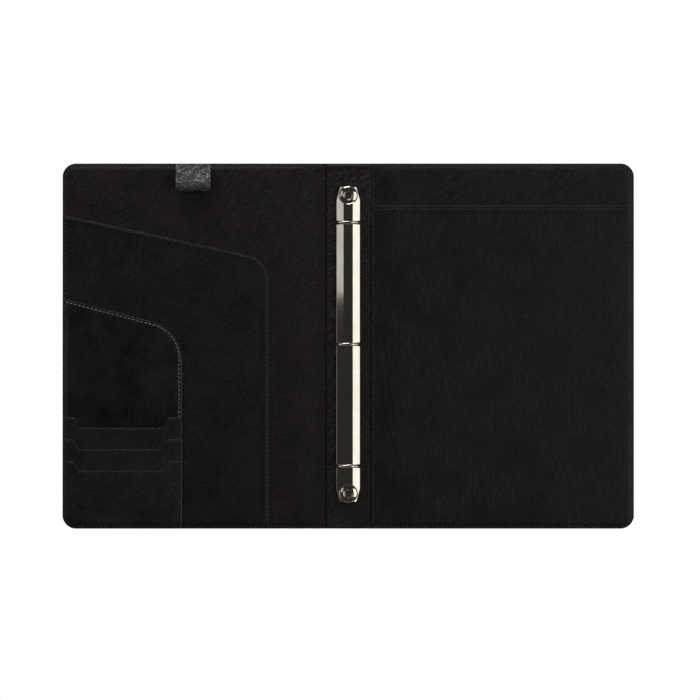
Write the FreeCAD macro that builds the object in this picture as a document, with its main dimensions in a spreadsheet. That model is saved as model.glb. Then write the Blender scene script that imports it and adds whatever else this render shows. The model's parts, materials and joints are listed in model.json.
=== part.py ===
"""Leather portfolio case with a three-ring binder spine, lying open and flat, inside up.

Frame: +X to the right along the open case, +Y towards its top edge, +Z up.
The origin is on the underside of the spine, at the middle of the case.
All sizes are in millimetres and are driven by the spreadsheet "dims".
"""

import FreeCAD, Part
import math
import os

import Sketcher
from FreeCAD import Placement, Rotation, Vector

DIMENSIONS = (
    # the covers and the spine
    ("half_width", 253.5, "spine centre line to the outer edge of a cover"),
    ("half_height", 162, "middle of a cover to its top or bottom edge"),
    ("corner_round", 12, "radius of the covers' outer corners"),
    ("spine_half", 20, "spine centre line to the edge of the stiff spine"),
    ("hinge_edge", 27, "spine centre line to the edge of a stiff cover"),
    ("edge_margin", 5, "outline to the board inside it"),
    ("hinge_wall", 1.2, "lining between a board and the hinge strip"),
    ("edge_slope", 3.5, "slope of the lining down to the stitched edge"),
    ("leather", 1.0, "thickness of the outer leather"),
    ("foam", 1.0, "thickness of the foam under the outer leather"),
    ("board", 2.0, "thickness of the stiffening board"),
    ("lining", 1.0, "thickness of the lining leather"),
    ("hinge_stack", 2.2, "thickness of the two leathers sewn together at a hinge"),
    # the pockets
    ("pocket_leather", 0.8, "thickness of a pocket panel"),
    ("pocket_margin", 3, "outline to the edge of a pocket panel"),
    ("document_side", 70.8, "spine centre line to the document pocket's side"),
    ("document_low", 76.8, "height of the document pocket's mouth at that side"),
    ("document_high", 115.6, "height of its mouth at the outer edge"),
    ("document_round", 22, "radius between its mouth and its side"),
    ("card_side", 147.5, "spine centre line to the card panel's side"),
    ("card_low", 14.7, "height of the card panel's top edge at that side"),
    ("card_high", 41.6, "height of its top edge at the outer edge"),
    ("card_round", 32, "radius between its top edge and its side"),
    ("notepad_mouth", 124.8, "height of the notepad pocket's mouth"),
    ("notepad_side", 28, "spine centre line to the notepad pocket's side"),
    # the card slots
    ("strip_leather", 0.6, "thickness of a card slot strip"),
    ("strip_side", 148, "spine centre line to the strips' near end"),
    ("strip_top", 62.6, "top of the first strip, below the middle of the case"),
    ("strip_pitch", 20, "from one strip to the next"),
    ("strip_dip", 9, "depth of the finger cut-out in a strip's top edge"),
    ("strip_tuck", 5, "length of a strip hidden under the next one's cut-out"),
    ("strip_step", 2, "length over which a strip steps down off the one above"),
    ("dip_out", 239, "spine centre line to the cut-out's outer bottom corner"),
    ("dip_in", 165.7, "spine centre line to its inner bottom corner"),
    ("dip_slant", 6.2, "width of its slanted ends"),
    # the pen loop
    ("pen_leather", 1.2, "thickness of the pen loop strap"),
    ("pen_low", 122, "spine centre line to the strap's near edge"),
    ("pen_high", 153, "spine centre line to the strap's far edge"),
    ("pen_radius", 5.6, "radius of the loop, at the middle of the strap"),
    ("pen_centre", 143, "middle of the case to the axis of the loop"),
    ("pen_seam", 161, "middle of the case to the strap's sewn ends"),
    ("pen_end_rise", 1.5, "upper sewn end above the lower one"),
    # the ring mechanism
    ("ring_centre", 1.5, "middle of the case to the middle ring"),
    ("ring_pitch", 107.95, "from ring to ring"),
    ("ring_radius", 10.3, "radius of a ring, at the middle of the wire"),
    ("ring_level", 13.1, "height of the rings' centres"),
    ("wire_radius", 1.35, "radius of the ring wire"),
    ("tip_gap", 0.1, "half the gap between closed ring tips"),
    ("foot_depth", 4.5, "level where the ring wire would end, below the blade"),
    ("pivot_out", 9.3, "centre line to the hinge line of a blade"),
    ("pivot_level", 6, "height of the hinge line of a blade"),
    ("blade_width", 8.9, "width of a hinge blade"),
    ("blade_half", 0.4, "half the thickness of a hinge blade"),
    ("blade_length", 244, "length of a hinge blade"),
    ("blade_tilt", 8, "slope of a closed blade, in degrees"),
    ("blade_edge_round", 0.3, "rounding of a blade's outer edge"),
    ("foot_room", 3, "reach past a blade of the cut that ends the ring wire"),
    ("plate_length", 280.6, "length of the cover plate"),
    ("plate_half", 10.4, "half width of the cover plate"),
    ("plate_metal", 0.8, "thickness of the cover plate"),
    ("plate_wall", 0.65, "thickness of its rims"),
    ("rim_low", 4.6, "height of the underside of its rims"),
    ("rim_high", 7.2, "height where its flanks meet the rims"),
    ("rim_lip", 0.6, "thickness of the lip that holds a blade"),
    ("lip_in", 8.9, "centre line to the edge of that lip"),
    ("crest_half", 4, "half width of its rounded crest"),
    ("flank_high", 9.6, "height where its flanks meet the crest"),
    ("crest_high", 10, "height of its crest"),
    ("neck_half", 120, "middle of the plate to where it starts to taper"),
    ("slot_in", 5.6, "centre line to the inner end of a ring slot"),
    ("slot_width", 3.8, "width of a ring slot"),
    ("slot_low", 5.4, "height of the bottom of a ring slot"),
    ("slot_reach", 12, "a size past the plate in every direction"),
    # the rivets
    ("rivet_offset", 132.25, "middle ring to a rivet"),
    ("seat_round", 8, "radius of the cover plate's round ends"),
    ("seat_floor", 5, "radius of the flat floor of a rivet seat"),
    ("seat_mouth", 6.9, "radius of the mouth of a rivet seat"),
    ("seat_metal", 0.8, "thickness of the floor of a rivet seat"),
    ("rivet_head", 3.8, "radius of a rivet's head"),
    ("rivet_rise", 1.6, "height of a rivet's head"),
    ("rivet_round", 1.2, "rounding of a rivet's head"),
    ("rivet_shank", 1.8, "radius of a rivet's shank"),
    ("rivet_hole", 1.9, "radius of the holes for a rivet"),
    ("washer_round", 6, "radius of the washer behind the spine board"),
    ("washer_metal", 0.5, "thickness of that washer"),
)

NEAR = 0.01  # tolerance for finding an edge by its place
START_RADIUS = 10  # size of an outline before its constraints shape it
START_TURN = 0.3  # turn of that outline, so that no corner starts on an axis

# Heights of the layers, as formulas of the sheet
FOAM_LEVEL = "dims.leather"
BOARD_LEVEL = "dims.leather + dims.foam"
COVER_TOP = "dims.leather + dims.foam + dims.board + dims.lining"
SPINE_TOP = "dims.leather + dims.board + dims.lining"
PANEL_LEVEL = COVER_TOP + " + dims.pocket_leather"
STRIP_LEVEL = PANEL_LEVEL + " + dims.pocket_leather"

FRONT = "-"  # the front cover lies on the -X side of the spine
BACK = ""

doc = FreeCAD.newDocument("portfolio_case")
nodes = []


def make_sheet():
    """Fill the spreadsheet: name, value and meaning of each driving dimension."""
    sheet = doc.addObject("Spreadsheet::Sheet", "dims")
    for row, (name, value, meaning) in enumerate(DIMENSIONS, start=1):
        sheet.set(f"A{row}", name)
        sheet.set(f"B{row}", str(value))
        sheet.set(f"C{row}", meaning)
        sheet.setAlias(f"B{row}", name)
    doc.recompute()
    return sheet


sheet = make_sheet()


def size(name):
    """The value of one driving dimension."""
    return float(sheet.get(name))


def keep(part, label=None):
    """Make an object one of the nodes of the case."""
    if label:
        part.Label = label
    nodes.append(part)
    return part


# ---------------------------------------------------------------- sketches and features


def make_body(label):
    body = doc.addObject("PartDesign::Body", label)
    body.Label = label
    return body


def plane_sketch(body, name, role, offset="0"):
    """A sketch on one of the body's own origin planes, moved along the plane's normal."""
    plane = next(f for f in body.Origin.OriginFeatures if f.Role == role)
    sketch = body.newObject("Sketcher::SketchObject", name)
    sketch.AttachmentSupport = [(plane, "")]
    sketch.MapMode = "FlatFace"
    sketch.setExpression("AttachmentOffset.Base.z", offset)
    return sketch


def hold(sketch, kind, edge, point, formula, now):
    """Hold a point of an edge at a distance from the sketch's origin."""
    row = sketch.addConstraint(Sketcher.Constraint(kind, -1, 1, edge, point, now))
    sketch.setExpression(f"Constraints[{row}]", formula)


def draw_outline(sketch, corners):
    """A closed outline of straight edges, each corner a pair of formulas."""
    count = len(corners)
    start = []
    for i in range(count):
        turn = START_TURN + 2 * math.pi * i / count
        start.append(Vector(math.cos(turn), math.sin(turn), 0) * START_RADIUS)
    for i in range(count):
        sketch.addGeometry(Part.LineSegment(start[i], start[(i + 1) % count]))
    for i in range(count):
        after = (i + 1) % count
        sketch.addConstraint(Sketcher.Constraint("Coincident", i, 2, after, 1))
    for i, (across, up) in enumerate(corners):
        hold(sketch, "DistanceX", i, 1, across, start[i].x)
        hold(sketch, "DistanceY", i, 1, up, start[i].y)


def draw_circle(sketch, across, up, radius):
    """A circle with its centre and radius given as formulas."""
    centre = Vector(START_RADIUS, START_RADIUS, 0)
    circle = sketch.addGeometry(Part.Circle(centre, Vector(0, 0, 1), 1))
    hold(sketch, "DistanceX", circle, 3, across, START_RADIUS)
    hold(sketch, "DistanceY", circle, 3, up, START_RADIUS)
    row = sketch.addConstraint(Sketcher.Constraint("Radius", circle, 1))
    sketch.setExpression(f"Constraints[{row}]", radius)


def pad(body, sketch, length, both_ways=False):
    feature = body.newObject("PartDesign::Pad", sketch.Name + "_pad")
    feature.Profile = sketch
    feature.SideType = "Symmetric" if both_ways else "One side"
    feature.setExpression("Length", length)
    return feature


def pocket(body, sketch, depth, upwards=False):
    """Cut a sketch into the body and make sure that it removed something."""
    doc.recompute()
    before = body.Shape.Volume
    feature = body.newObject("PartDesign::Pocket", sketch.Name + "_pocket")
    feature.Profile = sketch
    feature.Reversed = upwards
    feature.setExpression("Length", depth)
    doc.recompute()
    if body.Shape.Volume >= before:
        raise RuntimeError(f"{feature.Name} removed nothing")
    return feature


def dress(body, kind, amount, wanted):
    """Fillet or chamfer the edges of the body that wanted() picks."""
    doc.recompute()
    base = body.Tip
    names = [f"Edge{i}" for i, edge in enumerate(base.Shape.Edges, start=1) if wanted(edge)]
    feature = body.newObject("PartDesign::" + kind, f"{body.Name}_{kind.lower()}")
    feature.Base = (base, names)
    feature.setExpression("Radius" if kind == "Fillet" else "Size", amount)
    return feature


def upright(edge):
    """Whether an edge stands along Z."""
    box = edge.BoundBox
    return box.XLength < NEAR and box.YLength < NEAR


def slab(label, corners, level, thickness):
    """A flat layer with a straight-edged outline."""
    body = make_body(label)
    sketch = plane_sketch(body, label + "_outline", "XY_Plane", level)
    draw_outline(sketch, corners)
    pad(body, sketch, thickness)
    return body


def cover_rectangle(side, outer_gap, hinge_gap):
    """Corners of a rectangle on one cover, inside its outline and its hinge edge."""
    outer = f"{side}(dims.half_width - {outer_gap})"
    inner = f"{side}(dims.hinge_edge + {hinge_gap})"
    top = f"dims.half_height - {outer_gap}"
    bottom = f"{outer_gap} - dims.half_height"
    return ((inner, bottom), (outer, bottom), (outer, top), (inner, top))


def spine_rectangle(gap):
    """Corners of a rectangle on the spine, inside its outline."""
    side = f"dims.spine_half - {gap}"
    end = f"dims.half_height - {gap}"
    return ((f"-({side})", f"-({end})"), (side, f"-({end})"), (side, end), (f"-({side})", end))


def round_cover_corners(body, gap_name=None):
    """Round the two outer corners of a layer that stops short of the outline by a gap."""
    gap = size(gap_name) if gap_name else 0
    formula = f"dims.corner_round - dims.{gap_name}" if gap_name else "dims.corner_round"
    outer = size("half_width") - gap

    def at_corner(edge):
        return upright(edge) and abs(abs(edge.BoundBox.Center.x) - outer) < NEAR

    dress(body, "Fillet", formula, at_corner)


# ---------------------------------------------------------------- covers and spine


def make_cover(name, side):
    """The four layers of one cover: outer leather, foam, board and lining."""
    outline = cover_rectangle(side, "0", "0")
    inside = cover_rectangle(side, "dims.edge_margin", "dims.hinge_wall")
    leather = keep(slab(name + "_outer_leather", outline, "0", "dims.leather"))
    round_cover_corners(leather)
    foam = keep(slab(name + "_foam", inside, FOAM_LEVEL, "dims.foam"))
    round_cover_corners(foam, "edge_margin")
    board = keep(slab(name + "_board", inside, BOARD_LEVEL, "dims.board"))
    round_cover_corners(board, "edge_margin")
    make_cover_lining(name, side, outline, inside)


def make_cover_lining(name, side, outline, inside):
    """The lining lies over the board and comes down to the outer leather round it."""
    filling = "dims.foam + dims.board"
    lid = slab(name + "_lining_lid", outline, FOAM_LEVEL, filling + " + dims.lining")
    round_cover_corners(lid)
    doc.recompute()
    top = lid.Shape.BoundBox.ZMax
    hinge = size("hinge_edge")

    def slopes(edge):
        box = edge.BoundBox
        level = abs(box.ZMin - top) < NEAR and abs(box.ZMax - top) < NEAR
        return level and abs(abs(box.Center.x) - hinge) > NEAR

    dress(lid, "Chamfer", "dims.edge_slope", slopes)
    room = slab(name + "_lining_room", inside, FOAM_LEVEL, filling)
    round_cover_corners(room, "edge_margin")
    lining = doc.addObject("Part::Cut", name + "_lining")
    lining.Base = lid
    lining.Tool = room
    keep(lining, name + "_lining")


def make_hinge(name, side):
    """The flexible strip between the spine and a cover."""
    inner = f"{side}dims.spine_half"
    outer = f"{side}dims.hinge_edge"
    low, high = "-dims.half_height", "dims.half_height"
    corners = ((inner, low), (outer, low), (outer, high), (inner, high))
    keep(slab(name + "_hinge_leather", corners, "0", "dims.hinge_stack"))


def make_spine():
    """The spine's outer leather, its board and the lining over it."""
    outline = spine_rectangle("0")
    inside = spine_rectangle("dims.hinge_wall")
    keep(slab("spine_outer_leather", outline, "0", "dims.leather"))
    board = keep(slab("spine_board", inside, "dims.leather", "dims.board"))
    drill_rivet_holes(board, "spine_board_holes", "dims.rivet_hole", "dims.leather", "dims.board")
    recess = "dims.washer_metal"
    drill_rivet_holes(board, "washer_recess", "dims.washer_round", "dims.leather", recess)
    thickness = "dims.board + dims.lining"
    lining = keep(slab("spine_lining", outline, "dims.leather", thickness))
    room = plane_sketch(lining, "spine_board_room", "XY_Plane", "dims.leather")
    draw_outline(room, inside)
    pocket(lining, room, "dims.board", upwards=True)
    level = "dims.leather + dims.board"
    drill_rivet_holes(lining, "spine_lining_holes", "dims.rivet_hole", level, "dims.lining")


def drill_rivet_holes(body, name, radius, level, depth):
    """Cut a round hole at each rivet, upwards from a level."""
    sketch = plane_sketch(body, name, "XY_Plane", level)
    for sign in "+-":
        draw_circle(sketch, "0", f"dims.ring_centre {sign} dims.rivet_offset", radius)
    pocket(body, sketch, depth, upwards=True)


# ---------------------------------------------------------------- pockets


def make_sloped_pocket(label, level, family):
    """A pocket panel on the front cover, with a sloped mouth and a rounded corner."""
    outer = "-(dims.half_width - dims.pocket_margin)"
    side = f"-dims.{family}_side"
    bottom = "dims.pocket_margin - dims.half_height"
    corners = (
        (outer, bottom),
        (side, bottom),
        (side, f"dims.{family}_low"),
        (outer, f"dims.{family}_high"),
    )
    body = keep(slab(label, corners, level, "dims.pocket_leather"))
    low = size("pocket_margin") - size("half_height")
    outer_x = size("pocket_margin") - size("half_width")
    side_x = -size(family + "_side")

    def at(edge, across, up):
        middle = edge.BoundBox.Center
        return upright(edge) and abs(middle.x - across) < NEAR and abs(middle.y - up) < NEAR

    mouth = size(family + "_low")
    dress(body, "Fillet", f"dims.{family}_round", lambda e: at(e, side_x, mouth))
    corner = "dims.corner_round - dims.pocket_margin"
    rounding = dress(body, "Fillet", corner, lambda e: at(e, outer_x, low))
    rounding.Label = label + "_outline_rounding"


def make_notepad_pocket():
    """The full-width pocket on the back cover that holds a notepad's backing card."""
    outer = "dims.half_width - dims.pocket_margin"
    bottom = "dims.pocket_margin - dims.half_height"
    corners = (
        ("dims.notepad_side", bottom),
        (outer, bottom),
        (outer, "dims.notepad_mouth"),
        ("dims.notepad_side", "dims.notepad_mouth"),
    )
    body = keep(slab("notepad_pocket", corners, COVER_TOP, "dims.pocket_leather"))
    round_low_outer_corner(body, size("half_width") - size("pocket_margin"))


def round_low_outer_corner(body, outer):
    """Round the corner of a panel that lies in an outer bottom corner of the case."""
    low = size("pocket_margin") - size("half_height")

    def at_corner(edge):
        middle = edge.BoundBox.Center
        return upright(edge) and abs(middle.x - outer) < NEAR and abs(middle.y - low) < NEAR

    dress(body, "Fillet", "dims.corner_round - dims.pocket_margin", at_corner)


def make_card_strip(label, number, last):
    """One card slot strip: it laps over the tucked end of the strip above it."""
    top = f"-dims.strip_top - {number} * dims.strip_pitch"
    tucked = "dims.strip_dip - dims.strip_tuck"
    step = f"{top} - {tucked}"
    landing = f"{step} - dims.strip_step"
    end = "dims.pocket_margin - dims.half_height" if last else f"{step} - dims.strip_pitch"
    lift = "dims.strip_leather" if number else "0"
    body = make_body(label)
    outer = "dims.half_width - dims.pocket_margin"
    side = plane_sketch(body, label + "_side", "YZ_Plane", f"-({outer})")
    raised = f"{STRIP_LEVEL} + {lift}"
    profile = (
        (top, raised),
        (step, raised),
        (landing, STRIP_LEVEL),
        (end, STRIP_LEVEL),
        (end, f"{STRIP_LEVEL} + dims.strip_leather"),
        (landing, f"{STRIP_LEVEL} + dims.strip_leather"),
        (step, f"{raised} + dims.strip_leather"),
        (top, f"{raised} + dims.strip_leather"),
    )
    draw_outline(side, profile)
    pad(body, side, f"{outer} - dims.strip_side")
    cut_finger_dip(body, label, top)
    if last:
        round_low_outer_corner(body, size("pocket_margin") - size("half_width"))
    keep(body)


def cut_finger_dip(body, label, top):
    """Lower the middle of a strip's top edge, with slanted ends."""
    dip = plane_sketch(body, label + "_dip", "XY_Plane", STRIP_LEVEL)
    bottom = f"{top} - dims.strip_dip"
    above = f"{top} + dims.strip_dip"
    outline = (
        ("-dims.dip_out", bottom),
        ("-dims.dip_in", bottom),
        ("-dims.dip_in + dims.dip_slant", top),
        ("-dims.dip_in + dims.dip_slant", above),
        ("-dims.dip_out - dims.dip_slant", above),
        ("-dims.dip_out - dims.dip_slant", top),
    )
    draw_outline(dip, outline)
    pocket(body, dip, "3 * dims.strip_leather", upwards=True)


def make_pen_loop():
    """A strap bent into a loop, both ends sewn to the top edge of the front cover."""
    body = make_body("pen_loop")
    path = plane_sketch(body, "pen_loop_path", "YZ_Plane", "-dims.pen_high")
    draw_loop_path(path)
    doc.recompute()
    section = plane_sketch(body, "pen_strap_section", "XZ_Plane", "-dims.pen_seam")
    low, high = COVER_TOP, COVER_TOP + " + dims.pen_leather"
    far, near = "-dims.pen_high", "-dims.pen_low"
    draw_outline(section, ((far, low), (near, low), (near, high), (far, high)))
    pipe = body.newObject("PartDesign::AdditivePipe", "pen_loop_pipe")
    pipe.Profile = section
    pipe.Spine = path
    keep(body)


def draw_loop_path(path):
    """The middle line of the strap: flat, round the loop, and sloping down to the seam."""
    radius = size("pen_radius")
    under = sum(size(n) for n in ("leather", "foam", "board", "lining")) + size("pen_leather") / 2
    centre = Vector(size("pen_centre"), under + radius, 0)
    seam = Vector(size("pen_seam"), under + size("pen_end_rise"), 0)
    away = seam - centre
    lean = math.atan2(away.y, away.x) + math.acos(radius / away.Length)
    leaves = centre + Vector(math.cos(lean), math.sin(lean), 0) * radius
    bottom = centre - Vector(0, radius, 0)
    flat = Part.LineSegment(Vector(seam.x, under, 0), bottom)
    circle = Part.Circle(centre, Vector(0, 0, 1), radius)
    bend = Part.ArcOfCircle(circle, lean, 3 * math.pi / 2)
    slope = Part.LineSegment(leaves, seam)
    for line in (flat, bend, slope):
        path.addGeometry(line)
    path.addConstraint(Sketcher.Constraint("Tangent", 0, 2, 1, 2))
    path.addConstraint(Sketcher.Constraint("Tangent", 1, 1, 2, 1))
    path.addConstraint(Sketcher.Constraint("Horizontal", 0))
    row = path.addConstraint(Sketcher.Constraint("Radius", 1, radius))
    path.setExpression(f"Constraints[{row}]", "dims.pen_radius")
    middle = COVER_TOP + " + dims.pen_leather / 2"
    hold(path, "DistanceX", 0, 1, "dims.pen_seam", seam.x)
    hold(path, "DistanceY", 0, 1, middle, under)
    hold(path, "DistanceX", 1, 3, "dims.pen_centre", centre.x)
    hold(path, "DistanceX", 2, 2, "dims.pen_seam", seam.x)
    hold(path, "DistanceY", 2, 2, middle + " + dims.pen_end_rise", seam.y)


# ---------------------------------------------------------------- ring mechanism


def make_blade_plate(label, side, corners):
    """A plate along a blade's hinge line, drawn flat and tilted with the closed blade."""
    body = make_body(label)
    section = plane_sketch(body, label + "_section", "XZ_Plane")
    draw_outline(section, corners)
    pad(body, section, "dims.blade_length", both_ways=True)
    turn = Vector(0, 1, 0) if side == FRONT else Vector(0, -1, 0)
    body.Placement = Placement(Vector(0, 0, 0), Rotation(turn, size("blade_tilt")))
    body.setExpression("Placement.Base.x", f"{side}dims.pivot_out")
    body.setExpression("Placement.Base.y", "dims.ring_centre")
    body.setExpression("Placement.Base.z", "dims.pivot_level")
    return body


def make_ring_bar(name, side):
    """One hinge blade with its three half rings."""
    inward = "" if side == FRONT else "-"
    low, high = "-dims.blade_half", "dims.blade_half"
    far = inward + "dims.blade_width"
    blade = make_blade_plate(
        name + "_hinge_blade", side, (("0", low), (far, low), (far, high), ("0", high))
    )

    def on_hinge_line(edge):
        box = edge.BoundBox
        return box.YLength > size("blade_length") / 2 and abs(box.Center.x) < NEAR

    dress(blade, "Fillet", "dims.blade_edge_round", on_hinge_line)
    keep(blade)
    behind = f"{'-' if side == FRONT else ''}dims.foot_room"
    beyond = f"{inward}(dims.blade_width + dims.foot_room)"
    deep = "-dims.blade_half - dims.slot_reach"
    under = make_blade_plate(
        name + "_foot_cut",
        side,
        ((behind, deep), (beyond, deep), (beyond, high), (behind, high)),
    )
    for place, offset in (("top", " + "), ("middle", " + 0 * "), ("bottom", " - ")):
        label = f"{name}_ring_{place}"
        wire = make_ring_wire(label + "_wire", side)
        wire.setExpression("Placement.Base.y", f"dims.ring_centre{offset}dims.ring_pitch")
        ring = doc.addObject("Part::Cut", label)
        ring.Base = wire
        ring.Tool = under
        keep(ring, label)


def make_ring_wire(label, side):
    """Half a ring of round wire, from its tip at the top down past the blade."""
    body = make_body(label)
    path = plane_sketch(body, label + "_path", "XZ_Plane")
    radius, level = size("ring_radius"), size("ring_level")
    circle = Part.Circle(Vector(0, level, 0), Vector(0, 0, 1), radius)
    tip = math.asin(size("tip_gap") / radius)
    foot = math.asin((level - size("foot_depth")) / radius)
    if side == FRONT:
        path.addGeometry(Part.ArcOfCircle(circle, math.pi / 2 + tip, math.pi + foot))
        tip_end, foot_end = 1, 2
    else:
        path.addGeometry(Part.ArcOfCircle(circle, -foot, math.pi / 2 - tip))
        tip_end, foot_end = 2, 1
    path.addConstraint(Sketcher.Constraint("PointOnObject", 0, 3, -2))
    hold(path, "DistanceY", 0, 3, "dims.ring_level", level)
    row = path.addConstraint(Sketcher.Constraint("Radius", 0, radius))
    path.setExpression(f"Constraints[{row}]", "dims.ring_radius")
    now = size("tip_gap") if side == BACK else -size("tip_gap")
    hold(path, "DistanceX", 0, tip_end, f"{side}dims.tip_gap", now)
    hold(path, "DistanceY", 0, foot_end, "dims.foot_depth", size("foot_depth"))
    section = plane_sketch(body, label + "_section", "YZ_Plane", f"{side}dims.tip_gap")
    draw_circle(section, "0", "dims.ring_level + dims.ring_radius", "dims.wire_radius")
    pipe = body.newObject("PartDesign::AdditivePipe", label + "_pipe")
    pipe.Profile = section
    pipe.Spine = path
    return body


def arch_corners(filled):
    """The cover plate's cross-section: a thin arch with lipped rims, or the filled arch."""
    outside = (
        ("dims.plate_half", "dims.rim_high"),
        ("dims.crest_half", "dims.flank_high"),
        ("0", "dims.crest_high"),
    )
    if filled:
        rim = (("dims.plate_half", SPINE_TOP),)
        return mirrored_outline(rim + outside)
    inside = (
        ("0", "dims.crest_high - dims.plate_metal"),
        ("dims.crest_half", "dims.flank_high - dims.plate_metal"),
        ("dims.plate_half - dims.plate_wall", "dims.rim_high - dims.plate_metal"),
        ("dims.plate_half - dims.plate_wall", "dims.rim_low + dims.rim_lip"),
        ("dims.lip_in", "dims.rim_low + dims.rim_lip"),
        ("dims.lip_in", "dims.rim_low"),
        ("dims.plate_half", "dims.rim_low"),
    )
    right = inside[1:] + outside[:-1]
    left = tuple((f"-({x})", z) for x, z in reversed(right))
    return right + (outside[-1],) + left + (inside[0],)


def mirrored_outline(right):
    """Close an outline that is the same on both sides; its last corner is on the middle."""
    left = tuple((f"-({x})", z) for x, z in reversed(right[:-1]))
    return right + left


def make_long_section(label, corners):
    """A cross-section drawn out along the whole cover plate."""
    body = make_body(label)
    sketch = plane_sketch(body, label + "_section", "XZ_Plane", "-dims.ring_centre")
    draw_outline(sketch, corners)
    pad(body, sketch, "dims.plate_length", both_ways=True)
    return body


def make_plate_plan():
    """The cover plate's shape from above: a bar that tapers into round ends."""
    tapered = (
        ("dims.plate_half", "-dims.neck_half"),
        ("dims.plate_half", "dims.neck_half"),
        ("dims.seat_round", "dims.rivet_offset"),
        ("-dims.seat_round", "dims.rivet_offset"),
        ("-dims.plate_half", "dims.neck_half"),
        ("-dims.plate_half", "-dims.neck_half"),
        ("-dims.seat_round", "-dims.rivet_offset"),
        ("dims.seat_round", "-dims.rivet_offset"),
    )
    bar = slab("plate_plan_bar", tapered, "0", "2 * dims.slot_reach")
    bar.setExpression("Placement.Base.y", "dims.ring_centre")
    ends = [make_disc("plate_plan_end_", sign, "seat_round", "0", "2 * dims.slot_reach")
            for sign in "+-"]
    plan = doc.addObject("Part::MultiFuse", "plate_plan")
    plan.Shapes = [bar] + ends
    return plan


def make_disc(name, sign, radius, level, height):
    """An upright cylinder on the axis of one rivet."""
    disc = doc.addObject("Part::Cylinder", name + ("top" if sign == "+" else "bottom"))
    disc.setExpression("Radius", f"dims.{radius}")
    disc.setExpression("Height", height)
    disc.setExpression("Placement.Base.y", f"dims.ring_centre {sign} dims.rivet_offset")
    disc.setExpression("Placement.Base.z", level)
    return disc


def make_seat_hollow(sign):
    """The conical hollow that a rivet's head sits in."""
    hollow = doc.addObject("Part::Cone", "seat_hollow_" + ("top" if sign == "+" else "bottom"))
    hollow.setExpression("Radius1", "dims.seat_floor")
    hollow.setExpression("Radius2", "dims.seat_mouth")
    floor = f"{SPINE_TOP} + dims.seat_metal"
    hollow.setExpression("Height", f"dims.crest_high - ({floor})")
    hollow.setExpression("Placement.Base.y", f"dims.ring_centre {sign} dims.rivet_offset")
    hollow.setExpression("Placement.Base.z", floor)
    return hollow


def make_ring_slot(number, side, offset):
    """The opening in one flank of the plate that a ring passes through."""
    slot = doc.addObject("Part::Box", f"ring_slot_{number}")
    slot.setExpression("Length", "dims.slot_reach - dims.slot_in")
    slot.setExpression("Width", "dims.slot_width")
    slot.setExpression("Height", "dims.slot_reach")
    low = "-dims.slot_reach" if side == FRONT else "dims.slot_in"
    slot.setExpression("Placement.Base.x", low)
    middle = f"dims.ring_centre + {offset} * dims.ring_pitch"
    slot.setExpression("Placement.Base.y", f"{middle} - dims.slot_width / 2")
    slot.setExpression("Placement.Base.z", "dims.slot_low")
    return slot


def make_cover_plate():
    """The arched metal plate over the hinge blades, with a rivet seat at each end."""
    arch = make_long_section("arch_shell", arch_corners(filled=False))
    filled = make_long_section("arch_filled", arch_corners(filled=True))
    bosses = doc.addObject("Part::MultiFuse", "seat_bosses")
    reach = "2 * dims.slot_reach"
    bosses.Shapes = [make_disc("seat_boss_", sign, "seat_round", "0", reach) for sign in "+-"]
    seats = doc.addObject("Part::Common", "seat_blocks")
    seats.Base = filled
    seats.Tool = bosses
    shell = doc.addObject("Part::Common", "arch_trimmed")
    shell.Base = arch
    shell.Tool = make_plate_plan()
    whole = doc.addObject("Part::MultiFuse", "plate_whole")
    whole.Shapes = [shell, seats]
    cuts = [make_seat_hollow(sign) for sign in "+-"]
    cuts += [make_disc("seat_hole_", sign, "rivet_hole", "0", reach) for sign in "+-"]
    places = [(side, offset) for side in (FRONT, BACK) for offset in (-1, 0, 1)]
    cuts += [make_ring_slot(i, side, offset) for i, (side, offset) in enumerate(places)]
    removed = doc.addObject("Part::MultiFuse", "plate_cuts")
    removed.Shapes = cuts
    plate = doc.addObject("Part::Cut", "ring_cover_plate")
    plate.Base = whole
    plate.Tool = removed
    plate.Refine = True
    keep(plate, "ring_cover_plate")


def make_rivet(sign):
    """One rivet: a domed head on the seat and a shank down to the washer."""
    body = make_body("rivet_" + ("top" if sign == "+" else "bottom"))
    section = plane_sketch(body, body.Label + "_section", "XZ_Plane")
    floor = f"{SPINE_TOP} + dims.seat_metal"
    half = (
        ("0", "dims.leather"),
        ("dims.rivet_shank", "dims.leather"),
        ("dims.rivet_shank", floor),
        ("dims.rivet_head", floor),
        ("dims.rivet_head", f"{floor} + dims.rivet_rise"),
        ("0", f"{floor} + dims.rivet_rise"),
    )
    draw_outline(section, half)
    turned = body.newObject("PartDesign::Revolution", body.Label + "_turned")
    turned.Profile = section
    turned.ReferenceAxis = (section, ["V_Axis"])
    turned.Angle = 360
    doc.recompute()
    top = body.Shape.BoundBox.ZMax

    def head_rim(edge):
        return abs(edge.BoundBox.ZMin - top) < NEAR and edge.BoundBox.XLength > NEAR

    dress(body, "Fillet", "dims.rivet_round", head_rim)
    body.setExpression("Placement.Base.y", f"dims.ring_centre {sign} dims.rivet_offset")
    return body


def make_rivets():
    """Both rivets as one group, and both washers as another."""
    rivets = doc.addObject("Part::Compound", "ring_rivets")
    rivets.Links = [make_rivet(sign) for sign in "+-"]
    keep(rivets, "ring_rivets")
    washers = doc.addObject("Part::Compound", "rivet_washers")
    washers.Links = [make_washer(sign) for sign in "+-"]
    keep(washers, "rivet_washers")


def make_washer(sign):
    """One washer, let into the underside of the spine board."""
    height = "dims.washer_metal"
    blank = make_disc("washer_blank_", sign, "washer_round", "dims.leather", height)
    hole = make_disc("washer_hole_", sign, "rivet_hole", "0", "dims.slot_reach")
    washer = doc.addObject("Part::Cut", "washer_" + ("top" if sign == "+" else "bottom"))
    washer.Base = blank
    washer.Tool = hole
    return washer


# ---------------------------------------------------------------- checking and writing


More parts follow.
